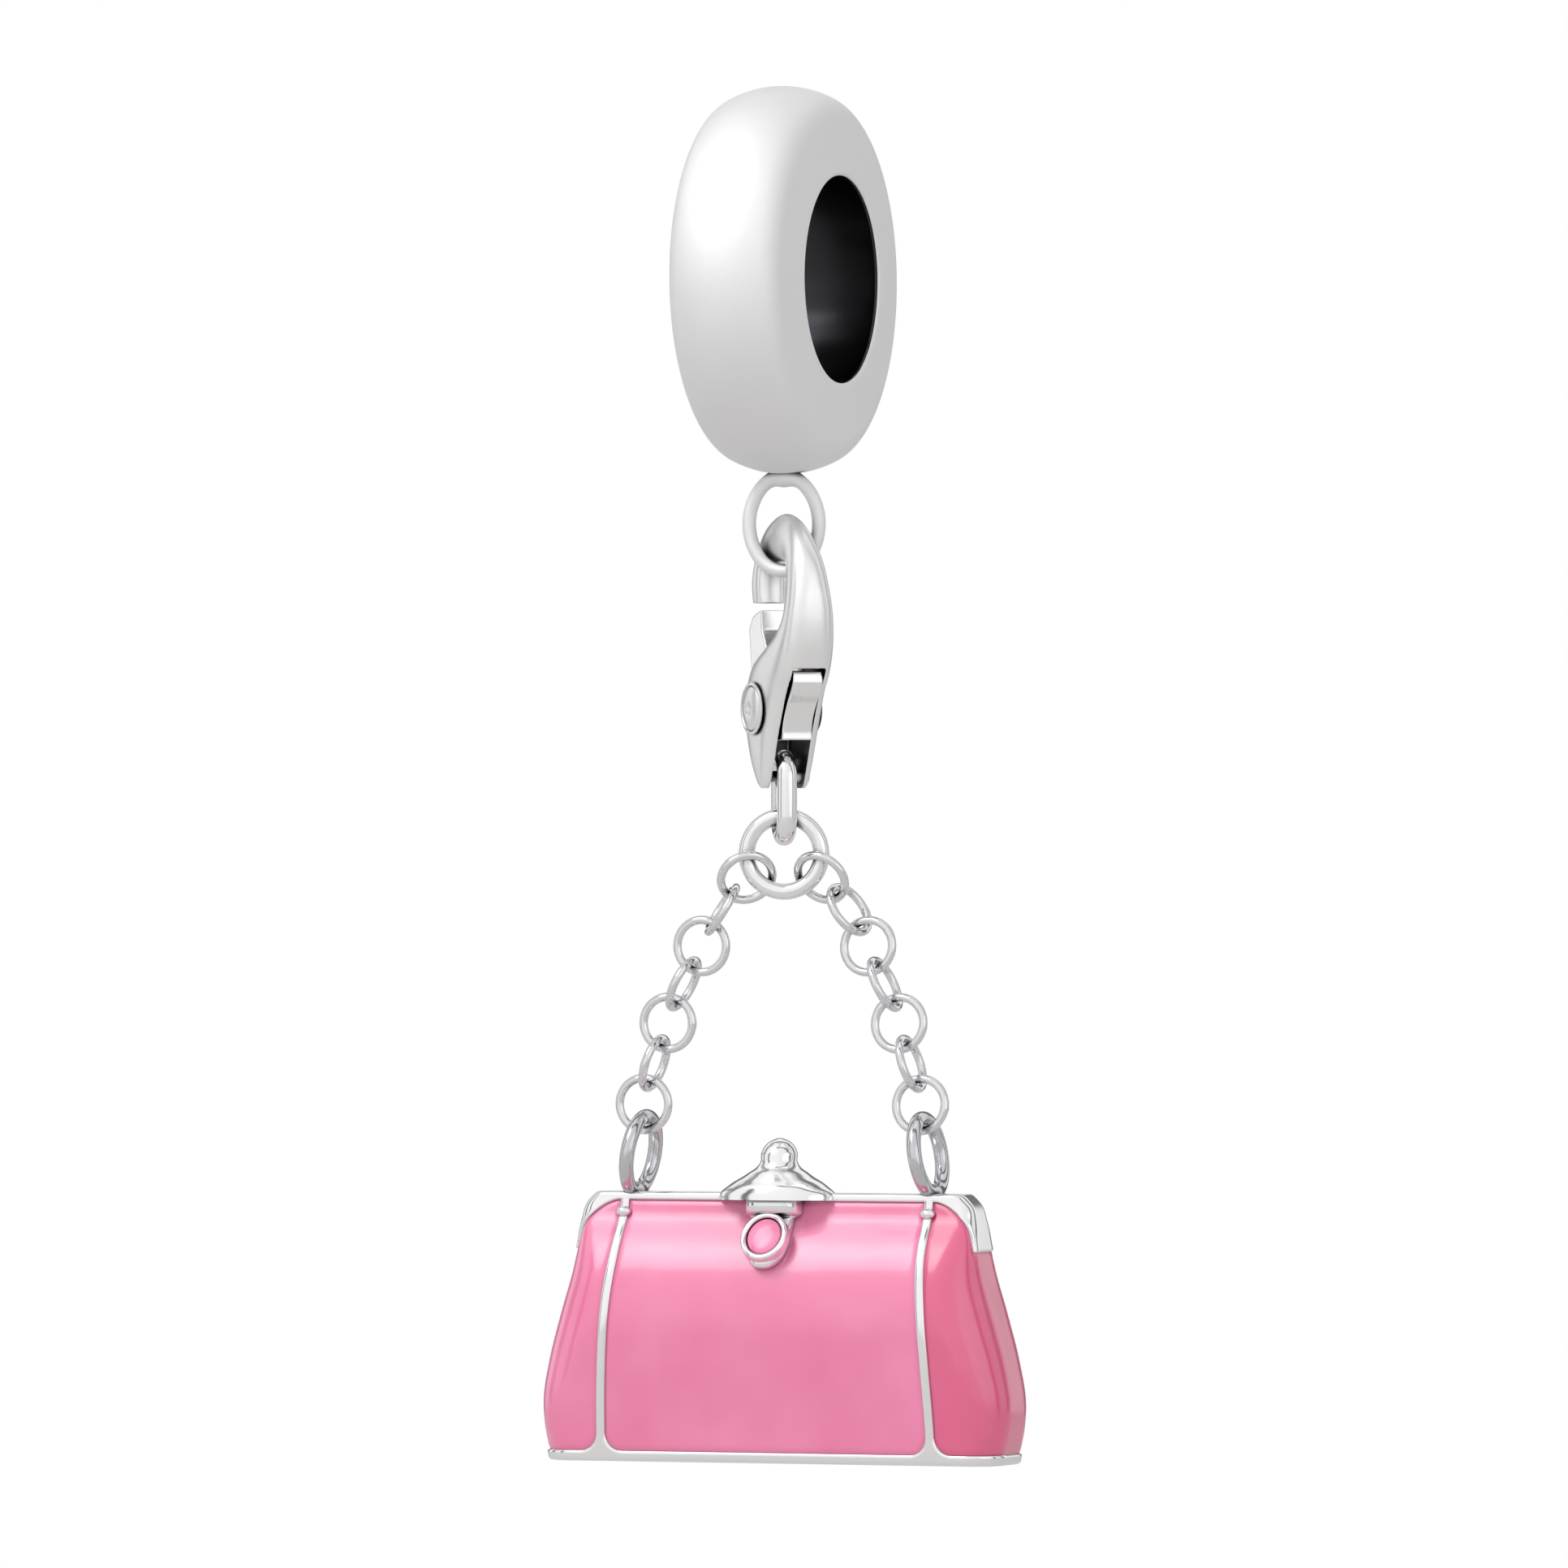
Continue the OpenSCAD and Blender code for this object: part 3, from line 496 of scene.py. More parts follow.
def bead_profile(s):
    """Half profile of the bead: (place along the bore, radius), from the bore's middle to the crown."""
    half, bore, outer, ridge = s.thick / 2, s.bore / 2, s.outer / 2, s.ridge / 2
    soft = s.ridge_round
    crown_x, rise = half - s.fall, outer - ridge
    crown_r = (crown_x**2 + rise**2) / (2 * rise)
    crown_at = np.array([0, outer - crown_r])
    rim = np.array([half, bore])
    face_dir = unit(np.array([crown_x, ridge]) - rim)
    face_in = np.array([-face_dir[1], face_dir[0]])
    start = rim + face_in * soft - crown_at
    run = -start @ face_dir + math.sqrt((start @ face_dir) ** 2 - start @ start + (crown_r - soft) ** 2)
    round_at = crown_at + start + face_dir * run
    a_face = math.atan2(*(-face_in)[::-1])
    a_crown = math.atan2(*unit(round_at - crown_at)[::-1])
    points = [(x, bore) for x in np.linspace(0, half - RIM_EASE, 12)]
    points += [(half - RIM_EASE + RIM_EASE * math.sin(t), bore + RIM_EASE * (1 - math.cos(t)))
               for t in np.linspace(0.15, math.pi / 2, 9)]
    face_start = np.array([half, bore + RIM_EASE])
    face_end = round_at - face_in * soft
    points += [tuple(face_start + (face_end - face_start) * k) for k in np.linspace(0.06, 1, 16)]
    points += [tuple(round_at + soft * np.array([math.cos(t), math.sin(t)]))
               for t in np.linspace(a_face, a_crown, 14)[1:]]
    points += [tuple(crown_at + crown_r * np.array([math.cos(t), math.sin(t)]))
               for t in np.linspace(a_crown, math.pi / 2, 18)[1:]]
    return points


class MakeBead(bpy.types.Operator):
    """Bead with its ridge and bore, and the loop soldered under it"""

    bl_idname = "charm.make_bead"
    bl_label = "Bead and loop"

    def execute(self, context):
        s = sizes("charm_bead")
        half = bead_profile(s)
        bead = lathed(half + [(-x, r) for x, r in half[-2:0:-1]], 224, closed=True)
        bead = placed(bead, (0, 0, 0), (0, 1, 0), (0, 0, 1), (1, 0, 0))

        def solder(angle):
            # Solder gathers where the loop meets the bead
            return 1 + 0.55 * math.exp(-((angle - math.pi / 2) / 0.36) ** 2)

        loop = round_oval(s.loop_w, s.loop_h, s.loop_wire, 128, 32, solder)
        middle = -s.outer / 2 + s.loop_sink - s.loop_h / 2
        loop = placed(loop, (0, 0, middle), (1, 0, 0), (0, 0, 1), (0, -1, 0))
        thing = mesh_object("bead", joined(bead, loop))
        make_piece(thing, "bead", ["carrier_bead"],
                   [silver("satin_tumbled_silver"), silver("painted_shade_bore_silver")])
        # Faces of the bore take the painted shade finish
        for face in thing.data.polygons:
            c = face.center / MM
            if abs(c.x) < s.thick / 2 - 0.05 and math.hypot(c.y, c.z) < s.bore / 2 + 0.03:
                face.material_index = 1
        return {"FINISHED"}


# Clasp

# Columns: outer x, outer drop, inner x, inner drop, half thickness, squareness of the section.
# x is a share of the clasp's width, a drop of its height, and thickness of half its thickness.
CLAW = [
    [-0.394, 0.325, -0.172, 0.325, 0.50, 2.6],
    [-0.403, 0.238, -0.180, 0.250, 0.52, 2.6],
    [-0.352, 0.130, -0.160, 0.193, 0.46, 2.2],
    [-0.190, 0.036, -0.085, 0.174, 0.42, 2.0],
    [0.060, 0.000, 0.045, 0.174, 0.40, 2.0],
    [0.320, 0.041, 0.175, 0.190, 0.44, 2.0],
    [0.500, 0.145, 0.262, 0.240, 0.58, 2.3],
    [0.582, 0.260, 0.300, 0.312, 0.70, 2.4],
    [0.600, 0.364, 0.294, 0.386, 0.80, 2.6],
    [0.582, 0.460, 0.176, 0.445, 0.89, 2.8],
    [0.547, 0.527, -0.029, 0.497, 0.96, 3.0],
    [0.488, 0.589, -0.221, 0.549, 1.00, 3.2],
    [0.388, 0.652, -0.324, 0.630, 1.00, 3.4],
    [0.294, 0.734, -0.347, 0.719, 1.00, 3.6],
    [0.212, 0.822, -0.300, 0.808, 0.97, 3.6],
    [0.140, 0.911, -0.222, 0.904, 0.91, 3.6],
    [0.080, 0.978, -0.126, 0.978, 0.83, 3.2],
    [0.040, 1.000, -0.080, 1.000, 0.74, 3.0],
]
# Room between the loop's wire and the claw, in millimetres, and the crown's thickness as a share of height
CLAW_SEAT = 0.06
CLAW_CROWN = 0.174
# Shares of width and height again, from the claw's top
RIVET_AT = (-0.03, -0.71)
SLOT_TOP = -0.565
PIN_DROP = -0.957
# How far the lever's nose is from the rivet
NOSE_REACH = 0.366


def clasp_place():
    """Origin and axes of the clasp: x towards the spine, y across the cheeks, origin at the claw's top."""
    bead, s = sizes("charm_bead"), sizes("charm_clasp")
    low = -bead.outer / 2 + bead.loop_sink - bead.loop_h
    top = low + bead.loop_wire + CLAW_SEAT + CLAW_CROWN * s.height
    turn = bpy.context.scene.charm_clasp.turn
    x = np.array([math.sin(turn), -math.cos(turn), 0])
    return (0, 0, top), x, np.array([-x[1], x[0], 0]), np.array([0, 0, 1])


def claw_rings(s, rows, sides):
    """Sections of the claw from the hook's tip over the top and down to the tips of the cheeks."""
    keyed = [[i, *row] for i, row in enumerate(CLAW)]
    wide, high, thick = s.width, s.height, s.thick / 2
    a = -around(sides)
    rings = []
    for key in np.linspace(0, len(CLAW) - 1, rows):
        ox, od, ix, idrop, half, square = (float(column_at(keyed, key, c)) for c in range(1, 7))
        outer = np.array([ox * wide, -od * high])
        inner = np.array([ix * wide, -idrop * high])
        c, d = np.cos(a), np.sin(a)
        c = np.sign(c) * np.abs(c) ** (2 / square)
        d = np.sign(d) * np.abs(d) ** (2 / square)
        p = (outer + inner) / 2 + np.outer(c, (outer - inner) / 2)
        rings.append(np.stack([p[:, 0], half * thick * d, p[:, 1]], -1))
    return rings


def prism(outline, thick):
    """Closed prism over an outline in local x and z, centred across y."""
    return loft([[(x, y, z) for x, z in outline] for y in (-thick / 2, thick / 2)])


def rod(x, z, diameter, long):
    """Round rod across local y."""
    a = around(64)
    return prism(np.stack([x + diameter / 2 * np.cos(a), z + diameter / 2 * np.sin(a)], -1), long)


def scaled(points, s):
    """Places on the clasp from shares of its width and height."""
    return [(x * s.width, z * s.height) for x, z in points]


class MakeClaspBody(bpy.types.Operator):
    """Cast claw with two cheeks, the slot between them and the cross pin"""

    bl_idname = "charm.make_clasp_body"
    bl_label = "Clasp body"

    def execute(self, context):
        s = sizes("charm_clasp")
        thing = mesh_object("clasp_body", loft(claw_rings(s, 150, 72)))
        # A web behind the lever's foot joins the cheeks
        slot = scaled([(1, SLOT_TOP), (0.33, SLOT_TOP), (0.2, -0.49), (0.12, -0.36), (-1, -0.36),
                       (-1, -0.812), (-0.215, -0.812), (-0.215, -0.9), (-1, -0.9), (-1, -1.1), (1, -1.1)], s)
        rivet = rod(*scaled([RIVET_AT], s)[0], s.rivet + 0.02, 4)
        carved(thing, prism(slot, s.slot), rivet)
        softened(thing, 0.026, 3)
        pin = rod(0, PIN_DROP * s.height, s.pin, s.slot + s.thick / 4)
        part = placed(joined(part_of(thing), pin), *clasp_place())
        make_piece(mesh_object("clasp_body", part), "drop", ["clasp_body"],
                   [silver("buffed_cast_silver")], crease=55)
        return {"FINISHED"}


class MakeClaspLever(bpy.types.Operator):
    """Lever in the slot, with its nose, hub and thumb face"""

    bl_idname = "charm.make_clasp_lever"
    bl_label = "Clasp lever"

    def execute(self, context):
        s = sizes("charm_clasp")
        x, z = scaled([RIVET_AT], s)[0]
        nose = NOSE_REACH * s.height
        sides = [(-0.172, -0.3), (-0.15, -0.42), (-0.06, -0.5), (0.12, -0.56)]
        # The thumb face swells at its top, then dips into a shallow scoop
        for t in np.linspace(0, 1, 30):
            swell, scoop = 0.05 * math.sin(math.pi * t / 0.45), 0.035 * math.sin(math.pi * (t - 0.45) / 0.55)
            sides.append((0.445 - 0.19 * t + (swell if t < 0.45 else -scoop), SLOT_TOP - 0.01 - 0.25 * t))
        sides += [(0.12, -0.828), (-0.03, -0.81), (-0.24, -0.78), (-0.33, -0.7), (-0.335, -0.6),
                  (-0.37, -0.5), (-0.395, -0.42), (-0.4, -0.3)]
        outline = []
        for px, pz in scaled(sides, s):
            # The nose ends on an arc about the rivet
            far = math.hypot(px - x, pz - z)
            if pz > -0.5 * s.height and far > nose:
                px, pz = x + (px - x) * nose / far, z + (pz - z) * nose / far
            outline.append((px, pz))
        start, end = outline[-1], outline[0]
        turns = [math.atan2(p[1] - z, p[0] - x) for p in (start, end)]
        outline += [(x + nose * math.cos(t), z + nose * math.sin(t)) for t in np.linspace(*turns, 10)[1:-1]]
        thing = mesh_object("clasp_lever", prism(outline, s.slot - 2 * s.lever_gap))
        carved(thing, rod(x, z, s.rivet + 0.06, 4))
        softened(thing, 0.024, 8)
        part = placed(part_of(thing), *clasp_place())
        make_piece(mesh_object("clasp_lever", part), "lever", ["clasp_lever"],
                   [silver("rhodium_plated_silver")], crease=55)
        return {"FINISHED"}


class MakeRivet(bpy.types.Operator):
    """Rivet through the cheeks: rim, dome and dimple on the near head, and a nearly flush far head"""

    bl_idname = "charm.make_rivet"
    bl_label = "Rivet"

    def execute(self, context):
        s = sizes("charm_clasp")
        foot = s.thick / 2 + 0.02
        r, rise = s.head / 2, s.head_rise
        shank = s.rivet / 2
        near = [(foot, shank), (foot, r - 0.02), (foot + 0.02, r), (foot + 0.06, r), (foot + 0.08, r - 0.03),
                (foot + 0.08, r - 0.07), (foot + 0.035, r - 0.1)]
        # Dome inside the rim, with the dimple that the closing punch leaves
        for share in np.linspace(0.82, 0.02, 28):
            dome = 0.035 + (rise - 0.035) * (1 - (share / 0.86) ** 2) ** 0.6
            near.append((foot + dome - 0.08 * math.exp(-((share / 0.2) ** 2)), share * r))
        # The far head lies nearly flush
        far = [(-foot, shank), (-foot, r - 0.03), (-foot - 0.015, r)]
        far += [(-foot - 0.015 - 0.028 * math.sqrt(1 - k * k), k * r) for k in np.linspace(0.97, 0.02, 10)]
        x, z = scaled([RIVET_AT], s)[0]
        # The near head looks at the camera, across the cheeks
        part = placed(lathed(far[::-1] + near, 72), (x, 0, z), (1, 0, 0), (0, 0, 1), (0, -1, 0))
        part = placed(part, *clasp_place())
        make_piece(mesh_object("clasp_rivet", part), "drop", ["clasp_rivet"],
                   [silver("buffed_cast_silver")], crease=50)
        return {"FINISHED"}


# Links


def link_piece(name, material, steps, sides, swell=None):
    """A round wire ring or oval laid exactly on its node."""
    centre, along, cross, normal, (wide, high, wire) = ring_of(name)
    # A round link measures the same both ways, but for its facets
    if abs(high - wide) < 0.1:
        wide = high = max(wide, high)
    part = placed(tube(wide, high, wire, steps, sides, swell), centre, cross, along, normal)
    make_piece(mesh_object("visible_" + name, part), "drop", [name], [material])


def soldered(angle):
    """Slight swelling where a link's wire was closed and soldered."""
    return 1 + 0.07 * math.exp(-((angle - 0.5 * math.pi) / 0.16) ** 2)


class MakeLinks(bpy.types.Operator):
    """Oval link, drop ring and both link chains"""

    bl_idname = "charm.make_links"
    bl_label = "Links and chains"

    def execute(self, context):
        steps = context.scene.charm_finish.round_steps
        # The larger rings take more segments
        for name in ("clasp_link", "drop_ring"):
            link_piece(name, silver("rhodium_plated_silver"), steps + 32, 40)
        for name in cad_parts:
            if name.startswith("chain_"):
                link_piece(name, silver("barrel_polished_silver_wire"), steps, 24, soldered)
        return {"FINISHED"}


# Handbag

# Levels from base to top. Columns: share of height, of half width, of half depth, and corner
# radius as a share of the half depth.
BAG_LEVELS = [
    [0.00, 0.963, 0.80, 0.62],
    [0.05, 0.974, 0.83, 0.64],
    [0.14, 0.994, 0.87, 0.68],
    [0.22, 1.000, 0.91, 0.72],
    [0.38, 0.972, 0.98, 0.75],
    [0.56, 0.919, 1.00, 0.75],
    [0.72, 0.869, 0.86, 0.70],
    [0.82, 0.849, 0.65, 0.62],
    [0.90, 0.836, 0.42, 0.52],
    [0.96, 0.815, 0.33, 0.45],
    [1.00, 0.775, 0.29, 0.42],
]
# Share of height, and how far a rib is from the middle as a share of the half width
RIBS = [[0, 0.706], [0.12, 0.704], [0.38, 0.690], [0.57, 0.675], [0.78, 0.656], [1, 0.650]]
# Share of a side panel that its end cap's curve takes at each edge
CAP_RUN = 0.34
# Columns: share of the lock's height, of its half width, of its half depth
LOCK_ROWS = [
    [-0.13, 1.00, 1.00], [0.02, 0.97, 0.97], [0.12, 0.86, 0.93], [0.20, 0.76, 0.85], [0.30, 0.60, 0.76],
    [0.38, 0.49, 0.68], [0.46, 0.38, 0.57], [0.54, 0.32, 0.52], [0.75, 0.295, 0.48], [0.87, 0.235, 0.38],
    [0.95, 0.15, 0.25], [1.00, 0.04, 0.07],
]
# Half width, half length and height of a pip, and half sizes of the oval that the bezel goes round
PIP = (0.2, 0.14, 0.15)
BEZEL = (0.455, 0.52)
# Shares of the strap's length where it narrows and where its round end starts, and its width between them
TAB_STEP = 0.285
TAB_ROUND = 0.66
TAB_NECK = 0.76
# How deep the shell lies sunk under the enamel, and the radii that round its base and top edges
SUNK = 0.1
BASE_ROUND = 0.09
TOP_ROUND = 0.08


class Bag:
    """The handbag's skin, worked out once from its sizes, in millimetres."""

    def __init__(self, s):
        self.s = s
        self.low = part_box("bag_casting")[0][2] / MM
        self.high = s.height
        self.top = self.low + self.high
        self.sill = s.sill
        self.bar_at = self.high - s.bar
        self.cap_at = self.high - s.cap
        self.corner = s.corner

    def section(self, v):
        """Half width, half depth, corner radius and length of the quarter outline at a level."""
        half = column_at(BAG_LEVELS, v, 1) * self.s.width / 2
        deep = column_at(BAG_LEVELS, v, 2) * self.s.depth / 2
        r = deep * column_at(BAG_LEVELS, v, 3)
        return half, deep, r, half - r + r * math.pi / 2 + deep - r

    def skin(self, s, v, off, side):
        """Points of the skin: s runs round the outline from the front's middle, in millimetres."""
        half, deep, r, quarter = self.section(v)
        s, v, off, half, deep, r, quarter = np.broadcast_arrays(s, v, off, half, deep, r, quarter)
        back = s > quarter
        w = np.where(back, 2 * quarter - s, s)
        flat = half - r
        a = np.clip((w - flat) / r, 0, math.pi / 2)
        x = np.where(w < flat, w, flat + (r + off) * np.sin(a))
        y = np.where(a < math.pi / 2, deep - r + (r + off) * np.cos(a), quarter - w)
        y = np.where(w < flat, deep + off, y)
        return np.stack([side * x, np.where(back, 1, -1) * y, self.low + v * self.high], -1)

    def rib(self, v):
        """How far a rib's middle is from the bag's middle."""
        return column_at(RIBS, v, 1) * self.s.width / 2

    def cap_rise(self, a):
        """Height of the side panel's top edge; a runs 0 to 1 across the panel."""
        far = np.minimum(a, 1 - a) / CAP_RUN
        return np.where(far >= 1, self.cap_at,
                        self.cap_at + (self.bar_at - self.cap_at) * np.sqrt(np.clip(1 - far**2, 0, 1)))

    def metal(self, s, v):
        """Distance from the nearest panel edge: positive on the silver, negative over the enamel."""
        z = v * self.high
        quarter = self.section(v)[3]
        s = np.where(s > quarter, 2 * quarter - s, s)
        edge = self.rib(v)
        half = self.s.rib
        r = self.corner

        def framed(inside, up):
            # Straight edges with a rounded lower corner; inside grows into the panel
            straight = np.maximum(-inside, -up)
            round_corner = np.hypot(r - inside, r - up) - r
            return np.where((inside < r) & (up < r), round_corner, straight)

        up = z - self.sill
        front = np.maximum(framed(edge - half - s, up), z - self.bar_at)
        start = edge + half
        inside = s - start
        wide = 2 * (quarter - start)
        a = inside / wide
        rx, rz = CAP_RUN, self.bar_at - self.cap_at
        ex, ez = a / rx, np.maximum(z - self.cap_at, 0) / rz
        f = np.hypot(ex, ez) + 1e-6
        oval = (f - 1) * f / (np.hypot(ex / (rx * wide), ez / rz) + 1e-6)
        cap = np.minimum(oval, z - self.cap_at)
        gusset = np.maximum(np.maximum(framed(inside, up), z - self.bar_at), cap)
        return np.where(s < edge, front, gusset)


def spread(*runs):
    """Values through runs of (start, end, count), without repeats."""
    values = [np.linspace(a, b, n, endpoint=False) for a, b, n in runs]
    return np.concatenate(values + [[runs[-1][1]]])


def shell_part(bag):
    """Silver shell of the bag: ribs, sill, bar and end caps stand over sunk panels."""
    proud, high, half = bag.s.proud, bag.high, bag.s.rib
    # Rows, and the columns below, crowd where the silver has an edge
    rows = spread((0, BASE_ROUND, 8), (BASE_ROUND, bag.sill - 0.06, 4), (bag.sill - 0.06, bag.sill + 0.06, 8),
                  (bag.sill + 0.06, bag.sill + 0.5, 16), (bag.sill + 0.5, bag.cap_at - 0.1, 46),
                  (bag.cap_at - 0.1, bag.bar_at - 0.06, 48), (bag.bar_at - 0.06, bag.bar_at + 0.06, 8),
                  (bag.bar_at + 0.06, high - TOP_ROUND, 3), (high - TOP_ROUND, high, 7))
    wraps = []
    for z in rows:
        v = z / high
        quarter = float(bag.section(v)[3])
        inner, outer = float(bag.rib(v)) - half, float(bag.rib(v)) + half
        runs = spread((0, inner - 0.55, 26), (inner - 0.55, inner - 0.06, 16),
                      (inner - 0.06, inner + 0.03, 8), (inner + 0.03, outer - 0.03, 6),
                      (outer - 0.03, outer + 0.06, 8), (outer + 0.06, outer + 0.55, 16),
                      (outer + 0.55, quarter, 50))
        s = np.concatenate([runs, (2 * quarter - runs)[::-1][1:]])
        m = bag.metal(s, v)
        # A rounded wire edge: steep where the enamel meets it, level at the top
        lift = np.clip(m / 0.1, 0, 1)
        off = np.where(m > 0, proud * (0.35 + 0.65 * np.sqrt(1 - (1 - lift) ** 2)),
                       proud * 0.35 - (SUNK + proud * 0.35) * np.clip(-m / 0.035, 0, 1))
        # Base and top edges are rounded over
        near = min(z / BASE_ROUND, (high - z) / TOP_ROUND, 1)
        off = off - 0.08 * (1 - math.sqrt(max(0, 1 - (1 - near) ** 2)))
        wraps.append(np.concatenate([bag.skin(s, v, off, 1), bag.skin(s, v, off, -1)[::-1][1:-1]]))
    return loft(wraps)


def panel_part(bag, place):
    """One enamel fill, level with the silver's foot at its edge and gently crowned."""
    nu, nv = 90, 70
    ease, ease_v = ((1 - np.cos(np.linspace(0, math.pi, n + 1))) / 2 for n in (nu, nv))
    flat = place in ("front", "back")
    upper = bag.bar_at if flat else bag.cap_rise(ease)
    sheets = []
    for under in (False, True):
        rows = []
        for k in ease_v:
            z = bag.sill + (upper - bag.sill) * k + np.zeros(nu + 1)
            v = z / bag.high
            quarter = bag.section(v)[3]
            # The silver takes more room at the round lower corners
            drop = np.clip((bag.sill + bag.corner - z) / bag.corner, 0, 1)
            inset = bag.s.rib + bag.corner * (1 - np.sqrt(1 - drop**2))
            if flat:
                s = (2 * ease - 1) * (bag.rib(v) - inset)
                side = np.where(s < 0, -1, 1)
                s = np.abs(s)
            else:
                side = 1 if place == "right" else -1
                start = bag.rib(v) + inset
                s = start + 2 * (quarter - start) * ease
            inner = np.clip(-bag.metal(s, v) / 0.16, 0, 1)
            off = np.full(nu + 1, -bag.s.enamel) if under else -0.03 * (1 - inner) ** 2
            rows.append(bag.skin(2 * quarter - s if place == "back" else s, v, off, side))
        sheets.append(np.array(rows))
    verts = np.concatenate(sheets).reshape(-1, 3)
    n = (nu + 1) * (nv + 1)
    faces = grid_faces(nv + 1, nu + 1) + grid_faces(nv + 1, nu + 1, start=n, turn=True)
    index = np.arange(n).reshape(nv + 1, nu + 1)
    rim = np.concatenate([index[0], index[1:, -1], index[-1, :-1][::-1], index[1:-1, 0][::-1]])
    faces += [(int(a), int(b), int(b) + n, int(a) + n) for a, b in zip(rim, np.roll(rim, -1))]
    return verts, faces


def lock_part(bag):
    """Kiss lock: an ogee that narrows to a round knob."""
    s = bag.s
    wide, deep = s.ogee / 2, s.knob * 0.92
    a = around(96)
    rings = []
    for key in np.linspace(LOCK_ROWS[0][0], 1, 76):
        w, d = (float(column_at(LOCK_ROWS, key, c)) for c in (1, 2))
        # The lock leans back a little as it rises
        y = -0.3 * s.tab_w * (1 - 0.4 * key)
        z = bag.top + key * s.lock
        rings.append(np.stack([w * wide * np.cos(a), y + d * deep * np.sin(a), np.full(96, z)], -1))
    return loft(rings)


def front_y(bag, v, off):
    """The front's y at a level, some way off the skin."""
    return -(bag.section(v)[1] + off)


def tab_half(t, wide):
    """Half width of the strap along its length, round at its end."""
    step = 1 - (1 - TAB_NECK) * np.clip((t - TAB_STEP) / 0.06, 0, 1)
    end = TAB_NECK * np.sqrt(np.clip(1 - ((t - TAB_ROUND) / 0.345) ** 2, 0, 1))
    return wide * np.where(t < TAB_ROUND, step, end)


def tab_part(bag):
    """Strap that rolls over the bar and lies on the front, with rounded edges."""
    s = bag.s
    k = np.sin(np.linspace(-1, 1, 33) * math.pi / 2)
    rings = []
    for t in spread((-0.065, 0.36, 64), (0.36, 0.9, 50), (0.9, 1.0, 14)):
        v = min(1.0, 1 - t * s.tab_l / bag.high)
        half = max(float(tab_half(t, s.tab_w / 2)), 0.01)
        # A roll over the bar, a notch below it, and edges and end that fall to the skin
        roll = 1.1 * s.tab_t * math.sqrt(max(0, 1 - ((t - 0.11) / 0.18) ** 2))
        notch = -0.05 * math.exp(-(((t - 0.31) / 0.02) ** 2))
        edge = (1 - np.abs(k) ** 5) ** 0.5
        end = math.sqrt(max(0, 1 - max(0, (t - 0.8) / 0.2) ** 4))
        off = s.proud + (s.tab_t - s.proud + 0.07 * (1 - k**2) + roll + notch) * edge * end
        x, z = k * half, np.full(33, bag.top - t * s.tab_l)
        top = np.stack([x, front_y(bag, v, off), z], -1)
        under = np.stack([x, np.full(33, front_y(bag, v, -0.05)), z], -1)
        rings.append(np.concatenate([top, under[::-1][1:-1]]))
    return loft(rings)


def bezel_place(bag):
    """Middle of the bezel and its axes: across, up along the strap, and out."""
    s = bag.s
    v = 1 - 0.58 * s.tab_l / s.height
    tilt = math.radians(32)
    middle = np.array([0, float(front_y(bag, v, s.tab_t + 0.1)), bag.low + v * bag.high])
    out = np.array([0, -math.cos(tilt), math.sin(tilt)])
    return middle, (1, 0, 0), np.array([0, math.sin(tilt), math.cos(tilt)]), out


def oval_lathe(profile):
    """Rings that follow an oval: each point is (outwards from the bezel's edge, rise)."""
    a = around(96)
    return [np.stack([(BEZEL[0] + g) * np.cos(a), (BEZEL[1] + g) * np.sin(a), np.full(96, h)], -1)
            for g, h in profile]


def bezel_part(bag):
    """Round-edged collar that holds the small enamel oval."""
    t = np.linspace(0, math.pi, 13)
    profile = [(0.0, -0.12)] + [(0.075 - 0.075 * math.cos(a), 0.06 + 0.06 * math.sin(a)) for a in t]
    profile += [(0.16, -0.12)]
    return placed(loft(oval_lathe(profile), closed=True), *bezel_place(bag))


def oval_part(bag):
    """Enamel oval in the bezel, crowned like a small cabochon."""
    profile = [(-0.02, 0.0), (-0.02, 0.03)]
    profile += [(-0.02 - (BEZEL[0] - 0.03) * k, 0.03 + 0.09 * math.sqrt(max(0, 1 - (1 - k) ** 2)))
                for k in np.linspace(0.04, 0.98, 24)]
    return placed(loft(oval_lathe(profile)), *bezel_place(bag))


def eyelet_part(bag, side):
    """Ring soldered on the bar, leaning a little towards the middle."""
    lean = math.radians(9)
    outer, wire = bag.s.eyelet, bag.s.eyelet_wire
    along = np.array([side * math.sin(lean), 0, -math.cos(lean)])
    # The last link bears on the ring from inside
    last, *_, link = ring_of("chain_right_7")
    link_r = (max(link[:2]) - link[2]) / 2
    reach = link_r + (outer - wire) / 2 - link[2] / 2 - wire / 2 - 0.03
    x = last[0] + reach * math.sin(lean)
    z = bag.top - 0.17 + outer / 2 * math.cos(lean)

    def solder(angle):
        # The ring's solder root points down to the bar
        return 1 + 0.3 * math.exp(-((angle - math.pi) / 0.3) ** 2) if angle < math.pi * 1.5 else 1

    ring = tube(outer, outer, wire, 96, 32, solder)
    return placed(ring, (side * x, 0, z), -along, (0, -1, 0), np.cross(along, [0, 1, 0]))


def pip_part(bag, side):
    """Low dome on the top end of a front rib."""
    v, slope = 0.925, math.radians(24)
    wide, long, high = PIP
    at = bag.skin(float(bag.rib(v)), v, bag.s.proud * 0.7, side)
    b = around(40)
    rings = [np.stack([wide * math.cos(t) * np.cos(b), long * math.cos(t) * np.sin(b),
                       np.full(40, high * math.sin(t))], -1) for t in np.linspace(0, math.pi / 2, 12)[:-1]]
    out = np.array([0, -math.cos(slope), math.sin(slope)])
    return placed(loft(rings), at, (1, 0, 0), np.array([0, math.sin(slope), math.cos(slope)]), out)


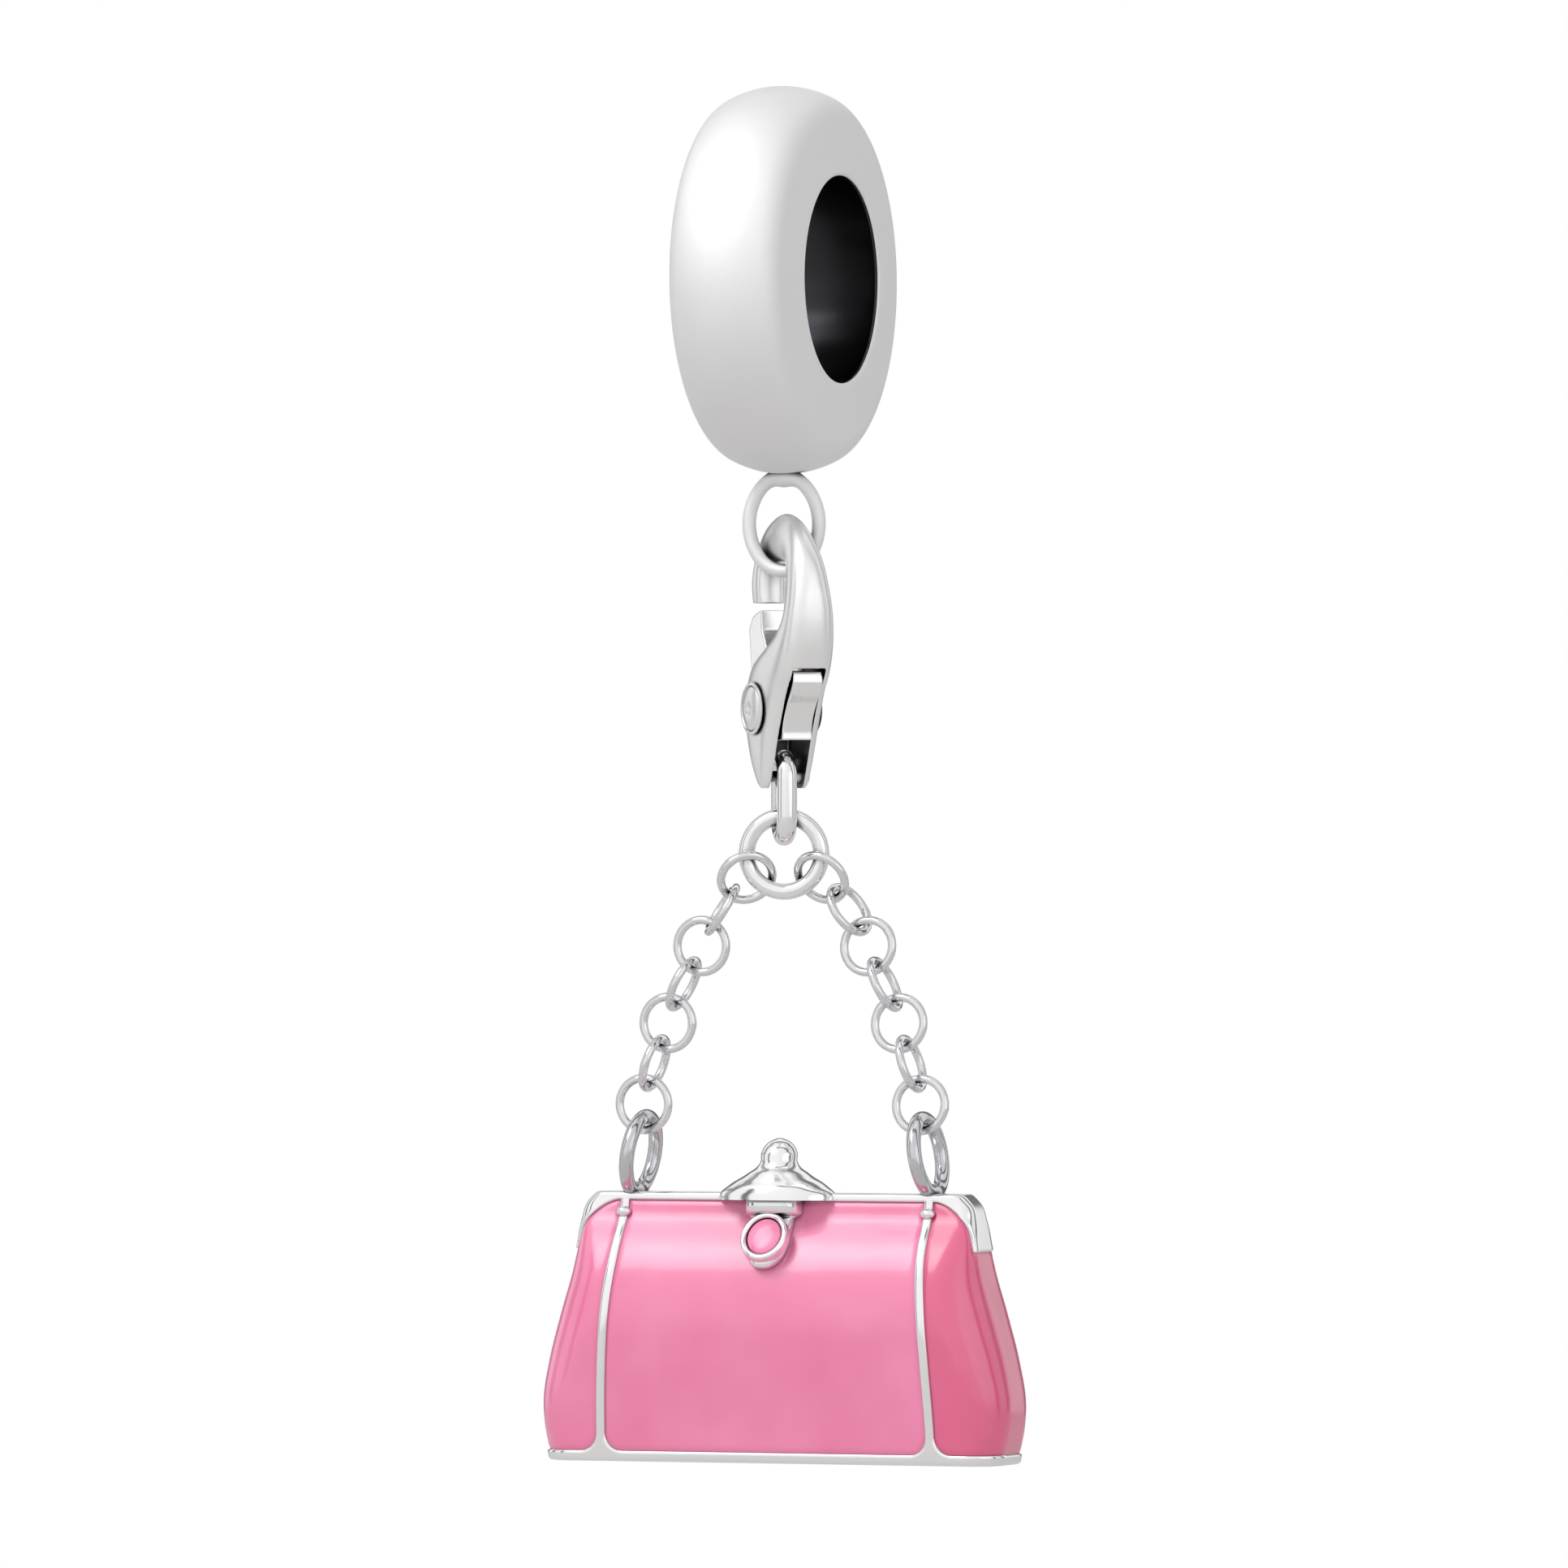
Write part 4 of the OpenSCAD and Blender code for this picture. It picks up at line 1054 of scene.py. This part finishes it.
class MakeBag(bpy.types.Operator):
    """Silver casting of the handbag: shell, kiss lock, strap, bezel, eyelets and pips"""

    bl_idname = "charm.make_bag"
    bl_label = "Bag casting"

    def execute(self, context):
        bag = Bag(sizes("charm_bag"))
        parts = [shell_part(bag), lock_part(bag), tab_part(bag), bezel_part(bag)]
        parts += [pip_part(bag, side) for side in (-1, 1)]
        eyelets = [eyelet_part(bag, side) for side in (-1, 1)]
        make_piece(mesh_object("bag_silver", joined(*parts)), "drop", ["bag_casting"],
                   [silver("rhodium_plated_silver")], crease=50)
        make_piece(mesh_object("bag_eyelets", joined(*eyelets)), "drop", ["bag_casting"],
                   [silver("grey_polished_silver")])
        return {"FINISHED"}


class MakeEnamel(bpy.types.Operator):
    """Pink enamel fills of the bag and of its strap"""

    bl_idname = "charm.make_enamel"
    bl_label = "Enamel fills"

    def execute(self, context):
        bag = Bag(sizes("charm_bag"))
        for place in ("front", "back", "left", "right"):
            # Painted shade: the right gusset takes darker, redder pinks than the rest, for the shade on that
            # side
            fill = shaded_gusset_enamel() if place == "right" else front_enamel()
            make_piece(mesh_object("pink_" + place, panel_part(bag, place)), "drop",
                       ["enamel_" + place], [fill], crease=60)
        make_piece(mesh_object("pink_oval", oval_part(bag)), "drop", ["enamel_tab"],
                   [front_enamel()], crease=60)
        return {"FINISHED"}


# Studio

# Name, place, target, width, height and power: lengths in millimetres, power in watts
LIGHTS = (
    ("key_light", (-150, -222, 297), (0, 0, -22), 210, 240, 0.72),
    ("side_light", (320, -150, 62), (0, 0, -10), 320, 220, 0.2),
    ("top_light", (60, -40, 330), (0, 0, -18), 220, 180, 0.08),
)
# Sizes of a light's panels, as shares of the light
PANELS = (1, 0.8, 0.6, 0.4)
# Grey walls round the charm. Columns: where they stand, from 1 straight behind it through 0 at its sides to
# -1 at the camera, half width in the same measure, and grey.
GREY_WALLS = ((-0.3, 0.1, 0.12), (0.36, 0.16, 0.2), (0.87, 0.1, 0.15))
# Floor and backdrop, in millimetres
FLOOR_RADIUS = 260
FLOOR_LEVEL = -46.0
BACKDROP_RADIUS = 900
# The camera looks level at the charm: turn, distance, height and width of the frame that it sees
CAMERA_TURN = math.radians(21)
CAMERA_AWAY = 400
CAMERA_LEVEL = -12.42
FRAME_WIDTH = 38.64
SENSOR = 36


def soft_box(name, place, target, wide, high, power):
    """Light that looks at a target and fades towards its edges: panels, each inside the last."""
    for number, share in enumerate(PANELS):
        light = bpy.data.lights.new(f"{name}_{number + 1}", "AREA")
        light.shape, light.energy = "ELLIPSE", power / len(PANELS)
        light.size, light.size_y = wide * share * MM, high * share * MM
        lamp = bpy.data.objects.new(light.name, light)
        lamp.location = Vector(place) * MM
        lamp.rotation_euler = (Vector(target) * MM - lamp.location).to_track_quat("-Z", "Y").to_euler()
        lamp.visible_camera = False
        bpy.context.scene.collection.objects.link(lamp)


def staged_floor():
    """Round pale floor under the charm."""
    a = around(128)
    disc = np.stack([FLOOR_RADIUS * np.cos(a), FLOOR_RADIUS * np.sin(a), np.full(128, FLOOR_LEVEL)], -1)
    floor = mesh_object("floor", (disc, [tuple(range(128))]))
    floor.data.transform(Matrix.Scale(MM, 4))
    floor.data.materials.append(built("matt_studio_paper", studio_paper))


def staged_backdrop():
    """White paper all round, far behind: the camera sees it, and it neither lights nor shades the charm."""
    dome = bmesh.new()
    bmesh.ops.create_icosphere(dome, subdivisions=4, radius=BACKDROP_RADIUS * MM)
    paper = bpy.data.meshes.new("backdrop")
    dome.to_mesh(paper)
    dome.free()
    paper.materials.append(built("lit_white_paper", backdrop_paper))
    backdrop = bpy.data.objects.new("backdrop", paper)
    backdrop.visible_diffuse = backdrop.visible_glossy = False
    backdrop.visible_transmission = backdrop.visible_shadow = False
    bpy.context.scene.collection.objects.link(backdrop)


def white_studio():
    """World: a white tent, greyer below and to the right, with grey walls that draw dark edges on metal."""
    world = bpy.data.worlds.new("white_studio")
    world.use_nodes = True
    tree = world.node_tree
    tree.nodes.clear()
    way = add(tree, "ShaderNodeTexCoord").outputs["Generated"]
    parts = add(tree, "ShaderNodeSeparateXYZ", {"Vector": way})
    tall = add(tree, "ShaderNodeMapRange", {"Value": parts.outputs["Z"], "From Min": -0.9, "From Max": 0.2,
                                            "To Min": 0.3, "To Max": 1.0}, interpolation_type="SMOOTHSTEP")
    side = add(tree, "ShaderNodeMapRange", {"Value": parts.outputs["X"], "To Min": 1.0, "To Max": 0.85})
    room = add(tree, "ShaderNodeMath", {0: tall.outputs["Result"], 1: side.outputs["Result"]},
               operation="MULTIPLY").outputs[0]
    back_way = (-math.sin(CAMERA_TURN), math.cos(CAMERA_TURN), 0)
    behind = add(tree, "ShaderNodeVectorMath", {0: way, 1: back_way},
                 operation="DOT_PRODUCT").outputs["Value"]
    for middle, half, grey in GREY_WALLS:
        far = add(tree, "ShaderNodeMath", {0: behind, 1: middle}, operation="SUBTRACT")
        far = add(tree, "ShaderNodeMath", {0: far.outputs[0]}, operation="ABSOLUTE")
        wall = add(tree, "ShaderNodeMapRange", {"Value": far.outputs[0], "From Min": half * 0.6,
                                                "From Max": half, "To Min": 1.0, "To Max": 0.0})
        room = add(tree, "ShaderNodeMix", {"Factor": wall.outputs["Result"], "A": room, "B": grey}).outputs[0]
    # The white sheet straight behind the charm, a little brighter than paper
    sheet = add(tree, "ShaderNodeMapRange", {"Value": behind, "From Min": 0.975, "From Max": 0.99},
                interpolation_type="SMOOTHSTEP")
    glow = add(tree, "ShaderNodeMix", {"Factor": sheet.outputs["Result"], "A": room, "B": 1.02})
    back = add(tree, "ShaderNodeBackground", {"Color": (1, 1, 1, 1), "Strength": glow.outputs[0]})
    add(tree, "ShaderNodeOutputWorld", {"Surface": back.outputs["Background"]})
    return world


def photo_camera():
    """Camera of the photograph."""
    view = bpy.data.cameras.new("photo_camera")
    view.sensor_width = SENSOR
    view.lens = SENSOR * CAMERA_AWAY / FRAME_WIDTH
    view.clip_start, view.clip_end = 0.01, 20
    back_way = Vector((math.sin(CAMERA_TURN), -math.cos(CAMERA_TURN), 0))
    camera = bpy.data.objects.new("photo_camera", view)
    camera.location = (Vector((0, 0, CAMERA_LEVEL)) + back_way * CAMERA_AWAY) * MM
    camera.rotation_euler = (-back_way).to_track_quat("-Z", "Y").to_euler()
    bpy.context.scene.collection.objects.link(camera)
    return camera


class MakeStage(bpy.types.Operator):
    """Pale floor, white backdrop, soft studio light and the camera"""

    bl_idname = "charm.make_stage"
    bl_label = "Studio"

    def execute(self, context):
        staged_floor()
        staged_backdrop()
        for light in LIGHTS:
            soft_box(*light)
        scene = context.scene
        scene.world = white_studio()
        scene.camera = photo_camera()
        scene.view_settings.view_transform = "Standard"
        return {"FINISHED"}


# Add-on


class CharmPanel(bpy.types.Panel):
    """Lists the charm's pieces in the sidebar"""

    bl_idname = "VIEW3D_PT_charm"
    bl_label = "Dangle charm"
    bl_space_type = "VIEW_3D"
    bl_region_type = "UI"
    bl_category = "Charm"

    def draw(self, context):
        layout = self.layout
        for operator in OPERATORS:
            layout.operator(operator.bl_idname)
        for name in GROUPS:
            box = layout.box()
            group = getattr(context.scene, name)
            for key in group.__annotations__:
                box.prop(group, key)


GROUPS = {
    "charm_bead": CharmBead,
    "charm_clasp": CharmClasp,
    "charm_bag": CharmBag,
    "charm_finish": CharmFinish,
}
OPERATORS = (MakeBead, MakeClaspBody, MakeClaspLever, MakeRivet, MakeLinks, MakeBag, MakeEnamel, MakeStage)


def register():
    for kind in (*GROUPS.values(), *OPERATORS, CharmPanel):
        bpy.utils.register_class(kind)
    for name, group in GROUPS.items():
        setattr(bpy.types.Scene, name, PointerProperty(type=group))


def unregister():
    for name in GROUPS:
        delattr(bpy.types.Scene, name)
    for kind in (CharmPanel, *OPERATORS[::-1], *list(GROUPS.values())[::-1]):
        bpy.utils.unregister_class(kind)


def main():
    register()
    bpy.ops.charm.make_bead()
    bpy.ops.charm.make_clasp_body()
    bpy.ops.charm.make_clasp_lever()
    bpy.ops.charm.make_rivet()
    bpy.ops.charm.make_links()
    bpy.ops.charm.make_bag()
    bpy.ops.charm.make_enamel()
    bpy.ops.charm.make_stage()


if __name__ == "__main__":
    main()
